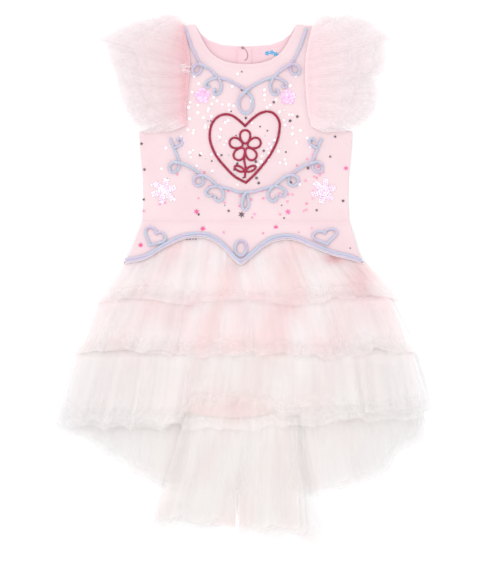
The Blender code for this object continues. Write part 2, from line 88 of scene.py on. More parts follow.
def tulleMaterial(name, rootCode, middleCode, hemCode, centreCode, sheerest, densest, rosiness):
    # Soft nylon tulle: a knitted net of 0.1 mm yarn with holes of about 1 mm. It gives the eye
    # a milky veil that is pinker and denser where it is gathered and clearer at the cut hem.
    made, tree, shader = newMaterial(name, {
        "Roughness": 0.9, "IOR": 1.53, "Specular IOR Level": 0.15,
        "Sheen Weight": 0.15, "Sheen Roughness": 0.6,
    })
    cloth = addNode(tree, "ShaderNodeUVMap", {"uv_map": "cloth"})
    fall = addNode(tree, "ShaderNodeAttribute", {"attribute_name": "fall"})
    blush = addNode(tree, "ShaderNodeAttribute", {"attribute_name": "blush"})
    paintedCoralShade = addNode(tree, "ShaderNodeAttribute", {"attribute_name": "paintedCoralShade"})
    cover = addNode(tree, "ShaderNodeAttribute", {"attribute_name": "cover"})
    # soft bands about 30 mm wide that run from the seam to the hem
    streakPlace = addNode(tree, "ShaderNodeMapping", values={"Scale": (32, 4, 1)},
                          links={"Vector": cloth.outputs[0]})
    streaks = addNode(tree, "ShaderNodeTexNoise", values={"Scale": 1.0, "Detail": 1.0, "Roughness": 0.4},
                      links={"Vector": streakPlace.outputs[0]})
    cloudPlace = addNode(tree, "ShaderNodeMapping", values={"Scale": (11, 9, 1)},
                         links={"Vector": cloth.outputs[0]})
    clouds = addNode(tree, "ShaderNodeTexNoise", values={"Scale": 1.0, "Detail": 2.0},
                     links={"Vector": cloudPlace.outputs[0]})
    tones = rampOf(tree, fall.outputs["Fac"], [(0.0, rootCode), (0.38, middleCode), (1.0, hemCode)])
    tinted = addNode(tree, "ShaderNodeMix", {"data_type": "RGBA"}, values={7: hexColour(centreCode)},
                     links={0: blush.outputs["Fac"], 6: tones.outputs[0]})
    # the dye is uneven: rosy zones a hand wide, and whiter ones
    uneven = addNode(tree, "ShaderNodeMapRange", values={1: 0.42, 2: 0.6, 3: 0.0, 4: rosiness},
                     links={0: clouds.outputs["Fac"]})
    rosy = addNode(tree, "ShaderNodeMath", {"operation": "MULTIPLY"},
                   links={0: uneven.outputs[0], 1: blush.outputs["Fac"]})
    zoned = addNode(tree, "ShaderNodeMix", {"data_type": "RGBA", "blend_type": "MULTIPLY"},
                    values={7: hexColour("#ffeeee")}, links={0: rosy.outputs[0], 6: tinted.outputs[2]})
    # painted shade: a darker coral mixed in at the spots marked as shade deep between the folds
    shadedTone = addNode(tree, "ShaderNodeMix", {"data_type": "RGBA"}, values={7: hexColour("#f0bcc0")},
                     links={0: paintedCoralShade.outputs["Fac"], 6: zoned.outputs[2]})
    tree.links.new(shadedTone.outputs[2], shader.inputs["Base Color"])
    # net: drawn at 1.6 mm, as coarse as it needs to show close up
    net = addNode(tree, "ShaderNodeTexVoronoi", {"feature": "DISTANCE_TO_EDGE", "voronoi_dimensions": "2D"},
                  values={"Scale": 620.0, "Randomness": 0.3}, links={"Vector": cloth.outputs[0]})
    yarn = addNode(tree, "ShaderNodeMapRange", values={1: 0.02, 2: 0.16, 3: 0.06, 4: -0.02},
                   links={0: net.outputs["Distance"]})
    veil = addNode(tree, "ShaderNodeMapRange", values={1: 0.3, 2: 0.7, 3: sheerest, 4: densest},
                   links={0: streaks.outputs["Fac"]})
    gathered = addNode(tree, "ShaderNodeMapRange", values={1: 0.0, 2: 0.35, 3: 0.14, 4: 0.0},
                       links={0: fall.outputs["Fac"]})
    dense = addNode(tree, "ShaderNodeMath", {"operation": "ADD"},
                    links={0: veil.outputs[0], 1: gathered.outputs[0]})
    alpha = addNode(tree, "ShaderNodeMath", {"operation": "ADD", "use_clamp": True},
                    links={0: dense.outputs[0], 1: yarn.outputs[0]})
    fading = addNode(tree, "ShaderNodeMath", {"operation": "MULTIPLY"},
                     links={0: alpha.outputs[0], 1: cover.outputs["Fac"]})
    tree.links.new(fading.outputs[0], shader.inputs["Alpha"])
    bump = addNode(tree, "ShaderNodeBump", values={"Strength": 0.1, "Distance": 0.0006},
                   links={"Height": streaks.outputs["Fac"]})
    tree.links.new(bump.outputs[0], shader.inputs["Normal"])
    return made


def jerseyMaterial(name, lightCode, deepCode):
    # Brushed cotton jersey: fine vertical wales of loops, matt, with a soft bloom at its edges.
    made, tree, shader = newMaterial(name, {
        "Roughness": 0.88, "IOR": 1.5, "Specular IOR Level": 0.2,
        "Sheen Weight": 0.25, "Sheen Roughness": 0.6,
    })
    place = addNode(tree, "ShaderNodeTexCoord")
    # wales at 1.4 mm instead of 0.7 mm, so that they show
    wales = addNode(tree, "ShaderNodeTexWave", {"wave_type": "BANDS", "bands_direction": "X"},
                    values={"Scale": 224.0, "Distortion": 0.6, "Detail": 1.0, "Detail Scale": 3.0},
                    links={"Vector": place.outputs["Object"]})
    loops = addNode(tree, "ShaderNodeTexNoise", values={"Scale": 900.0, "Detail": 2.0},
                    links={"Vector": place.outputs["Object"]})
    clouds = addNode(tree, "ShaderNodeTexNoise", values={"Scale": 14.0, "Detail": 3.0},
                     links={"Vector": place.outputs["Object"]})
    tones = rampOf(tree, clouds.outputs["Fac"], [(0.3, deepCode), (0.62, lightCode)])
    speck = addNode(tree, "ShaderNodeMix", {"data_type": "RGBA", "blend_type": "SOFT_LIGHT"},
                    values={0: 0.18}, links={6: tones.outputs[0], 7: loops.outputs[0]})
    tree.links.new(speck.outputs[2], shader.inputs["Base Color"])
    relief = addNode(tree, "ShaderNodeMath", {"operation": "ADD"},
                     links={0: wales.outputs["Fac"], 1: loops.outputs["Fac"]})
    bump = addNode(tree, "ShaderNodeBump", values={"Strength": 0.22, "Distance": 0.0003},
                   links={"Height": relief.outputs[0]})
    tree.links.new(bump.outputs[0], shader.inputs["Normal"])
    return made


def chenilleMaterial(name, codes):
    # Chenille cord of viscose with a lurex thread: soft pile in lilac and sky blue that glints.
    made, tree, shader = newMaterial(name, {
        "Roughness": 0.6, "Specular IOR Level": 0.4, "Sheen Weight": 0.6, "Sheen Roughness": 0.4,
    })
    place = addNode(tree, "ShaderNodeTexCoord")
    blend = addNode(tree, "ShaderNodeTexNoise", values={"Scale": 55.0, "Detail": 3.0, "Roughness": 0.7},
                    links={"Vector": place.outputs["Object"]})
    tones = rampOf(tree, blend.outputs["Fac"],
                   [(0.3, codes[0]), (0.45, codes[1]), (0.57, codes[2]), (0.7, codes[3])])
    tree.links.new(tones.outputs[0], shader.inputs["Base Color"])
    pile = addNode(tree, "ShaderNodeTexNoise", values={"Scale": 1400.0, "Detail": 2.0},
                   links={"Vector": place.outputs["Object"]})
    bump = addNode(tree, "ShaderNodeBump", values={"Strength": 0.7, "Distance": 0.0006},
                   links={"Height": pile.outputs["Fac"]})
    tree.links.new(bump.outputs[0], shader.inputs["Normal"])
    return made


def beadMaterial(name, deepCode, brightCode):
    # Cut glass seed beads lined in crimson: each is a little different and has a hard highlight.
    made, tree, shader = newMaterial(name, {
        "Roughness": 0.28, "IOR": 1.5, "Coat Weight": 0.3, "Coat Roughness": 0.1,
    })
    place = addNode(tree, "ShaderNodeTexCoord")
    spots = addNode(tree, "ShaderNodeTexNoise", values={"Scale": 420.0, "Detail": 1.0},
                    links={"Vector": place.outputs["Object"]})
    tones = rampOf(tree, spots.outputs["Fac"], [(0.35, deepCode), (0.65, brightCode)])
    tree.links.new(tones.outputs[0], shader.inputs["Base Color"])
    return made


def sequinMaterial(name, codes, metallic, roughness):
    # Punched PET film with a foil or pearl back: hue and glint differ from sequin to sequin.
    made, tree, shader = newMaterial(name, {
        "Roughness": roughness, "Metallic": metallic, "Coat Weight": 0.3, "Coat Roughness": 0.1,
    })
    place = addNode(tree, "ShaderNodeTexCoord")
    spots = addNode(tree, "ShaderNodeTexNoise", values={"Scale": 210.0, "Detail": 1.0},
                    links={"Vector": place.outputs["Object"]})
    stops = [(0.3 + 0.4 * step / (len(codes) - 1), code) for step, code in enumerate(codes)]
    tones = rampOf(tree, spots.outputs["Fac"], stops)
    tree.links.new(tones.outputs[0], shader.inputs["Base Color"])
    return made


def threadMaterial(name, code, paleCode):
    # Spun polyester sewing thread: matt, with the twist as a fine bump.
    made, tree, shader = newMaterial(name, {"Roughness": 0.7, "Sheen Weight": 0.3})
    place = addNode(tree, "ShaderNodeTexCoord")
    twist = addNode(tree, "ShaderNodeTexNoise", values={"Scale": 1500.0},
                    links={"Vector": place.outputs["Object"]})
    tones = rampOf(tree, twist.outputs["Fac"], [(0.3, code), (0.8, paleCode)])
    tree.links.new(tones.outputs[0], shader.inputs["Base Color"])
    return made


# Shapes of the dress, the same as its solids, in millimetres

bodice = {
    "middle": 4.0, "waistSeam": 77.0, "restHeight": 1.9, "crown": 2.5, "halfWidth": 150.0, "wall": 1.6,
    "backOpening": 2.0, "backYokeHem": 26.0,
    "armhole": [
        (-145, 202), (-132, 205), (-108, 216), (-93, 234), (-86, 259), (-84, 291), (-87, 318), (-92, 350),
    ],
    "frontNeck": [(-67, 353), (-62, 342), (-50, 320), (-38, 308), (-20, 300)],
    "frontNeckBottom": (4, 297.5),
    "backNeck": [(-67, 353), (-59, 340), (-48, 331), (-30, 324.5)],
    "backNeckBottom": (4, 322),
    "sideSeam": [(-141, 77), (-139, 103), (-139.5, 135), (-143, 172)],
}
scallop = [
    (-167, 18), (-138, 24), (-113, 39), (-93, 49), (-76, 54), (-52, 54), (-31, 43), (-15, 26), (-3, 17),
    (10, 26), (31, 43), (50, 51), (72, 51), (98, 41), (125, 30), (150, 24), (168, 18),
]
stack = {"low": 2.6, "high": 7.4, "frontLow": 2.2, "frontHigh": 10.4, "tailStep": 2.8, "overGathers": 4.3}


def roundCurve(points, closed, spacing):
    # evenly spaced points on a smooth curve through a route's own points
    route = np.array(points, dtype=float)
    count = len(route)
    fine = []
    for index in range(count if closed else count - 1):
        if closed:
            a, b, c, d = (route[(index + offset) % count] for offset in (-1, 0, 1, 2))
        else:
            before, after = max(index - 1, 0), min(index + 2, count - 1)
            a, b, c, d = route[before], route[index], route[index + 1], route[after]
        for t in np.arange(0, 1, 1 / 16):
            fine.append(0.5 * (2 * b + (c - a) * t + (2 * a - 5 * b + 4 * c - d) * t ** 2
                               + (3 * b - a - 3 * c + d) * t ** 3))
    fine.append(route[0] if closed else route[-1])
    fine = np.array(fine)
    passed = np.concatenate([[0], np.cumsum(np.linalg.norm(np.diff(fine, axis=0), axis=1))])
    pieces = max(4, round(passed[-1] / spacing))
    places = np.linspace(0, passed[-1], pieces + 1)
    even = np.stack([np.interp(places, passed, fine[:, axis]) for axis in range(fine.shape[1])], axis=1)
    return even[:-1] if closed else even


def smoothStep(start, end, value):
    share = np.clip((value - start) / (end - start), 0, 1)
    return share * share * (3 - 2 * share)


def mirrored(points):
    return [(2 * bodice["middle"] - point[0], *point[1:]) for point in reversed(points)]


def tailStep(y):
    return stack["tailStep"] * smoothStep(-100, -145, y)


def stackHeight(y):
    return stack["low"] + (stack["high"] - stack["low"]) * smoothStep(20, -10, y)


def frontStackHeight(y):
    rise = smoothStep(45, -4, y)
    return stack["frontLow"] + (stack["frontHigh"] - stack["frontLow"]) * rise + tailStep(y)


def frontHeight(x, y):
    share = (x - bodice["middle"]) / bodice["halfWidth"]
    return bodice["restHeight"] + bodice["crown"] * np.maximum(0, 1 - share * share)


def yokeHeight(x, y):
    share = smoothStep(bodice["waistSeam"], 58, y)
    return frontHeight(x, y) * (1 - share) + (frontStackHeight(y) + stack["overGathers"]) * share


# Soft creases of the jersey, listed one by one: start, end, width, depth in mm (minus is a trough)
creases = [
    ((-138, 196), (-96, 176), 9, -1.1), ((-141, 180), (-104, 158), 8, 0.9),
    ((-141, 150), (-112, 140), 7, -0.7), ((147, 196), (106, 178), 9, -1.1),
    ((148, 176), (116, 158), 8, 0.8), ((148, 142), (118, 132), 7, -0.6),
    ((-139, 112), (-88, 100), 7, -0.8), ((-140, 96), (-70, 88), 6, 0.7), ((147, 112), (100, 98), 7, -0.8),
    ((-52, 104), (-36, 82), 6, -0.6), ((64, 102), (52, 82), 6, -0.6), ((20, 96), (26, 80), 5, 0.4),
    ((-78, 250), (-58, 226), 7, -0.7), ((86, 252), (70, 224), 7, -0.7), ((-30, 296), (-16, 284), 6, 0.5),
    ((34, 294), (24, 282), 6, 0.5), ((-6, 290), (2, 272), 7, -0.5), ((-128, 70), (-96, 58), 6, -0.6),
    ((130, 70), (104, 60), 6, -0.6), ((-20, 70), (-8, 56), 6, -0.5), ((30, 72), (18, 56), 6, -0.5),
]


def creaseHeight(x, y):
    total = 0.0
    for (ax, ay), (bx, by), width, depth in creases:
        spanX, spanY = bx - ax, by - ay
        share = np.clip(((x - ax) * spanX + (y - ay) * spanY) / (spanX ** 2 + spanY ** 2), 0, 1)
        away = np.hypot(x - ax - share * spanX, y - ay - share * spanY)
        ends = np.sin(math.pi * np.clip(share, 0.08, 0.92)) ** 0.5
        total = total + depth * np.exp(-(away / width) ** 2) * ends
    return total


def frontTop(x, y):
    # top of the bodice or yoke, on which cord, beads and sequins lie
    height = frontHeight(x, y) if y > bodice["waistSeam"] else yokeHeight(x, y)
    return height + bodice["wall"] + creaseHeight(x, y)


def curveAt(points, shares):
    # places at shares of a curve's length
    fine = roundCurve(points, False, 1.0) if len(points) > 2 else np.array(points, dtype=float)
    passed = np.concatenate([[0], np.cumsum(np.linalg.norm(np.diff(fine, axis=0), axis=1))])
    return np.stack([np.interp(shares * passed[-1], passed, fine[:, axis]) for axis in (0, 1)], axis=1)


# Pieces

def newPiece(name, points, faces, material, nodes=(), uv=None, traits=None):
    mesh = bpy.data.meshes.new(name)
    mesh.from_pydata([tuple(point) for point in points], [], [tuple(int(c) for c in face) for face in faces])
    if uv is not None:
        layer = mesh.uv_layers.new(name="cloth")
        corners = np.empty(len(mesh.loops), dtype=np.int32)
        mesh.loops.foreach_get("vertex_index", corners)
        layer.data.foreach_set("uv", np.asarray(uv, dtype=np.float32)[corners].ravel())
    for trait, amounts in (traits or {}).items():
        made = mesh.attributes.new(trait, "FLOAT", "POINT")
        made.data.foreach_set("value", np.asarray(amounts, dtype=np.float32).ravel())
    mesh.shade_smooth()
    mesh.materials.append(material)
    made = bpy.data.objects.new(name, mesh)
    bpy.context.scene.collection.objects.link(made)
    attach(made, "root")
    if nodes:
        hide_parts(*nodes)
    return made


def inOutline(outline, x, y):
    crossings = 0
    for (ax, ay), (bx, by) in zip(outline, outline[1:] + outline[:1]):
        if (ay > y) != (by > y) and x < ax + (y - ay) * (bx - ax) / (by - ay):
            crossings += 1
    return crossings % 2 == 1


def distanceToEdge(edge, x, y):
    starts = np.array(edge)
    spans = np.roll(starts, -1, axis=0) - starts
    offset = np.array([x, y]) - starts
    share = np.clip((offset * spans).sum(1) / np.maximum((spans ** 2).sum(1), 1e-9), 0, 1)
    return np.min(np.linalg.norm(offset - spans * share[:, None], axis=1))


# Shares of the spacing and of the wall in the panels of jersey, and the angle of a sharp edge
panelWork = {
    "rowShare": 0.87, "edgeShare": 0.55, "edgeTop": 0.3, "edgeUnder": 0.75, "sharpFrom": 45, "room": 1.02,
}


def clothPanel(name, outline, height, wall, spacing, material, nodes):
    # a cut panel of jersey: a thin closed shell with edges that turn down softly
    edge = []
    for (ax, ay), (bx, by) in zip(outline, outline[1:] + outline[:1]):
        count = max(1, round(math.hypot(bx - ax, by - ay) / spacing))
        edge += [(ax + (bx - ax) * s / count, ay + (by - ay) * s / count) for s in range(count)]
    lows = np.min(np.array(edge), axis=0)
    highs = np.max(np.array(edge), axis=0)
    spots = list(edge)
    rows = np.arange(lows[1] + spacing / 2, highs[1], spacing * panelWork["rowShare"])
    for row, y in enumerate(rows):
        for x in np.arange(lows[0] + spacing * (0.5 if row % 2 else 1.0), highs[0], spacing):
            if inOutline(edge, x, y) and distanceToEdge(edge, x, y) > panelWork["edgeShare"] * spacing:
                spots.append((x, y))
    ring = list(range(len(edge)))
    found = delaunay_2d_cdt([Vector(spot) for spot in spots], [], [ring], 1, 0.0001)
    flat, triangles = found[0], found[2]
    over, under = [], []
    for index, spot in enumerate(flat):
        onEdge = index < len(edge)
        top = height(spot.x, spot.y) + wall
        overDrop = panelWork["edgeTop"] * wall if onEdge else 0.0
        underDrop = panelWork["edgeUnder"] * wall if onEdge else wall
        over.append((spot.x * mm, spot.y * mm, (top - overDrop) * mm))
        under.append((spot.x * mm, spot.y * mm, (top - underDrop) * mm))
    total = len(over)
    faces = []
    for a, b, c in triangles:
        ab, ac = flat[b] - flat[a], flat[c] - flat[a]
        turn = (a, b, c) if ab.x * ac.y - ab.y * ac.x > 0 else (a, c, b)
        faces.append(turn)
        faces.append(tuple(total + corner for corner in reversed(turn)))
    area = sum((edge[i][0] * edge[(i + 1) % len(edge)][1] - edge[(i + 1) % len(edge)][0] * edge[i][1])
               for i in range(len(edge)))
    for a, b in zip(ring, ring[1:] + ring[:1]):
        faces.append((total + a, total + b, b, a) if area > 0 else (total + b, total + a, a, b))
    made = newPiece(name, over + under, faces, material, nodes)
    made.data.set_sharp_from_angle(angle=math.radians(panelWork["sharpFrom"]))
    return made


# Frills: the folds are those of the solids, with finer pleats and gathers on them

def foldShape(count, seed, shares):
    k = np.arange(count)
    widths = 1 + 0.35 * np.sin(2.4 * k + seed) + 0.2 * np.sin(5.1 * k + 2 * seed)
    crests = 0.74 + 0.26 * np.sin(1.7 * k + 1.3 * seed)
    reaches = np.sin(3.1 * k + seed)
    starts = np.concatenate([[0], np.cumsum(widths)]) / widths.sum()
    index = np.clip(np.searchsorted(starts, shares, side="right") - 1, 0, count - 1)
    turn = (shares - starts[index]) / (widths[index] / widths.sum())
    lift = 0.5 - 0.5 * np.cos(2 * np.pi * turn)
    return crests[index] * lift, reaches[index] * lift, np.sin(2 * np.pi * turn), widths[index] / widths.sum()


def waviness(shares, waves, seed):
    # an uneven line of ripples between -1 and 1
    generator = np.random.default_rng(seed)
    total = np.zeros_like(shares)
    for octave, weight in ((0.55, 0.3), (1.0, 0.5), (1.9, 0.3)):
        phase = generator.uniform(0, 2 * np.pi)
        drift = 0.8 * np.sin(2 * np.pi * shares * waves * 0.13 + generator.uniform(0, 6))
        total += weight * np.sin(2 * np.pi * shares * waves * octave + phase + drift)
    return total


def steps(shares, count, seed):
    # the uneven cut of a hem: blocks of different length with short slopes between them
    generator = np.random.default_rng(seed)
    places = np.sort(generator.uniform(0, 1, count))
    heights = generator.uniform(-1, 1, count + 1)
    level = np.full_like(shares, heights[0])
    for place, before, after in zip(places, heights, heights[1:]):
        level += (after - before) * (0.5 + 0.5 * np.tanh((shares - place) * 130))
    return level


# Where a frill fades, as shares of its width or of its fall, and how a slit flattens it
fades = {
    "sideWidth": 0.16, "sideFall": (0.62, 0.8), "coverWidth": 0.06, "rootFall": (0.02, 0.22),
    "hemFall": (0.72, 1.0), "slitWidth": 13.0, "slitRun": 0.24, "slitFlat": 0.8, "lowest": 0.25,
}


def frill(name, piece, material, nodes):
    columns, rows = piece["columns"], piece["rows"]
    shares = np.linspace(0, 1, columns)
    falls = np.linspace(0, 1, rows) ** 0.9
    top, hem = curveAt(piece["top"], shares), curveAt(piece["hem"], shares)
    crest, reach, flank, width = foldShape(piece["folds"], piece["seed"], shares)
    pleat = waviness(shares, piece["pleats"], piece["noise"])
    gather = waviness(shares, piece["pleats"] * 2.6, piece["noise"] + 1)
    waves = waviness(shares, piece["folds"] * 0.3, piece["folds"] * 10 + 4)
    wander = waviness(shares, piece["folds"] * 0.5, piece["noise"] + 3)
    raggedness = piece["ragged"] * reach + piece["cut"] * steps(shares, piece["cuts"], piece["noise"] + 2)
    span = np.gradient(hem, axis=0)
    heading = span / np.maximum(np.linalg.norm(span, axis=1), 1e-9)[:, None]
    hemLength = np.linalg.norm(np.diff(hem, axis=0), axis=1).sum()
    points = np.zeros((columns, rows, 3))
    for row, fall in enumerate(falls):
        reachOut = fall * (1 + raggedness)
        spot = top + (hem - top) * reachOut[:, None]
        sway = piece["sway"] * hemLength * width * flank * fall * -1
        sway = sway + piece["drift"] * fall * fall * wander
        spot = spot + heading * sway[:, None]
        depth = piece["low"] + (piece["high"] * piece["softness"] - piece["low"]) * fall ** 1.4
        fine = piece["pleatDepth"] * (0.25 + 0.75 * fall) * pleat
        fine = fine + piece["gatherDepth"] * (1 - 0.75 * fall) * gather
        height = piece["level"](spot[:, 0], spot[:, 1], fall) + depth * crest + piece["lift"](fall)
        height = height + fine + piece["pleatDepth"] + 0.3
        height = height + piece["billow"] * fall * (1 + waves)
        points[:, row, 0] = spot[:, 0]
        points[:, row, 1] = spot[:, 1]
        points[:, row, 2] = np.maximum(height, fades["lowest"])
    middle = np.exp(-((points[:, :, 0] - bodice["middle"]) / piece["blushWidth"]) ** 2) * piece["blush"]
    paintedShadeAmount = np.zeros((columns, rows))
    # painted shade: the coral tint summed over the shade spots
    for x, y, across, up, amount in paintedShadeSpots:
        paintedShadeAmount += amount * np.exp(-((points[:, :, 0] - x) / across) ** 2 - ((points[:, :, 1] - y) / up) ** 2)
    nearSide = np.minimum(shares, 1 - shares)[:, None]
    # a side edge that lies on another frill melts into it: it fades and sinks
    onFrill = 1 - smoothStep(0.0, fades["sideWidth"], nearSide)
    onFrill = onFrill * (1 - smoothStep(*fades["sideFall"], falls))
    atSide = 1 - smoothStep(0.0, fades["coverWidth"], nearSide)
    cover = 1 - piece["edgeFade"] * onFrill + piece["sideCover"] * atSide
    points[:, :, 2] = np.maximum(points[:, :, 2] - piece["sink"] * onFrill, fades["lowest"])
    cover = cover * (1 - piece["rootFade"] * (1 - smoothStep(*fades["rootFall"], falls)))
    cover = piece["cover"] * cover * (1 - piece["hemFade"] * smoothStep(*fades["hemFall"], falls))
    for x, start, _ in piece["slits"]:
        below = smoothStep(start - fades["slitRun"], start, falls)[None, :]
        near = np.exp(-((points[:, :, 0] - x) / fades["slitWidth"]) ** 2) * below
        above = points[:, :, 2] - fades["lowest"]
        points[:, :, 2] = fades["lowest"] + above * (1 - fades["slitFlat"] * near)
    points *= mm
    depthFlat = float(np.linalg.norm(hem - top, axis=1).mean()) * mm
    uv = np.stack(np.broadcast_arrays(shares[:, None] * piece["fullness"] * hemLength * mm,
                                      falls[None, :] * depthFlat), axis=2)
    index = np.arange(columns * rows).reshape(columns, rows)
    quads = np.stack([index[:-1, :-1], index[:-1, 1:], index[1:, 1:], index[1:, :-1]], axis=2)
    keep = np.ones(quads.shape[:2], dtype=bool)
    for x, start, half in piece["slits"]:
        opened = np.clip((falls[None, 1:] - start) / (1 - start), 0, 1) * half * mm
        keep &= np.abs(points[:-1, 1:, 0] - x * mm) >= opened
    quads = quads[keep].reshape(-1, 4)
    middleRow, middleColumn = rows // 2, columns // 2
    across = points[middleColumn + 1, middleRow] - points[middleColumn, middleRow]
    along = points[middleColumn, middleRow + 1] - points[middleColumn, middleRow]
    if (np.cross(along, across)[2] > 0) != piece["faceUp"]:
        quads = quads[:, ::-1]
    made = newPiece(name, points.reshape(-1, 3), quads, material, nodes, uv.reshape(-1, 2),
                    {"fall": np.broadcast_to(falls[None, :], (columns, rows)), "blush": middle,
                     "paintedCoralShade": np.clip(paintedShadeAmount, 0, 1), "cover": cover})
    return made


def frontLevel(rise):
    # rises over the gathers of the tier below it and sinks on to that tier at its hem
    return lambda x, y, fall: (frontStackHeight(y)
                               + rise * smoothStep(0.2, 0.8, fall) * (1 - 0.5 * smoothStep(0.8, 1.0, fall)))


def shingleLevel(coveredHem, step):
    return lambda x, y, fall: step * smoothStep(coveredHem - 18, coveredHem - 6, y)


def slopedLevel(root, hem):
    return lambda x, y, fall: root + (hem - root) * fall


frillBase = {
    "columns": 640, "rows": 18, "ragged": 0.03, "cut": 0.02, "cuts": 14, "sway": 0.02, "drift": 1.2,
    "pleats": 50, "pleatDepth": 0.11, "gatherDepth": 0.03, "fullness": 1.7, "faceUp": True, "softness": 0.42,
    "blush": 1.0, "blushWidth": 165.0, "slits": [], "billow": 1.6, "edgeFade": 0.0,
    "hemFade": 0.45, "cover": 1.0, "sideCover": 0.0, "sink": 0.0, "rootFade": 0.0,
    "lift": lambda fall: 0.0,
}

# painted shade: spots where the tulle is tinted a darker coral to stand in for the shade deep between the
# folds and under the yoke: x, y, half width, half height, amount
paintedShadeSpots = [
    (165, -4, 18, 28, 0.45), (128, 25, 15, 7, 0.9), (-97, -55, 18, 26, 0.18), (-71, -36, 12, 12, 0.2),
    (3, -54, 10, 22, 0.2), (-78, 255, 7, 34, 0.5), (-84, 325, 12, 22, 0.25), (-8, -185, 14, 16, 0.35),
    (60, -42, 20, 12, 0.12),
]

tierTable = {
    # the first tier is gathered under the yoke, a little inside its scalloped edge
    "gatherShare": 0.94, "gatherUp": 11,
    "firstHem": [(-207, -33), (-144, -30), (-74, -38), (0, -34), (80, -38), (150, -28), (227, -33)],
    "secondTop": [(-193, -20), (0, -16), (200, -20)],
    "secondHem": [(-239, -107), (-172, -103), (-102, -112), (0, -107), (94, -112), (178, -103), (246, -108)],
    "thirdTop": [(-226, -92), (0, -88), (234, -92)],
    "thirdHem": [(-264, -197), (-235, -203), (-172, -205), (-94, -202), (-70, -181), (0, -178), (29, -181),
                 (63, -192), (136, -196), (220, -192), (264, -186)],
    "thirdVeil": [(-254, -200), (-235, -206), (-172, -209), (-94, -210), (-66, -207), (-20, -210), (12, -209),
                  (40, -204), (70, -203), (136, -202), (220, -198), (255, -192)],
    "bowlTop": [(-246, -170), (0, -170), (250, -170)],
    "bowlHem": [(-263, -208), (-200, -249), (-120, -294), (-60, -303), (0, -306), (60, -307), (112, -308),
                (157, -296), (204, -276), (222, -250), (257, -232), (255, -206)],
    "tailTop": [(-76, -178), (0, -178), (76, -178)],
    "tailHem": [(-127, -341), (-60, -352), (-11, -350), (14, -363), (96, -370), (115, -356)],
}


def widened(points, share, down):
    # a lower layer's edge: a little wider or narrower, longer or shorter
    return [(x * share, y + down) for x, y in points]


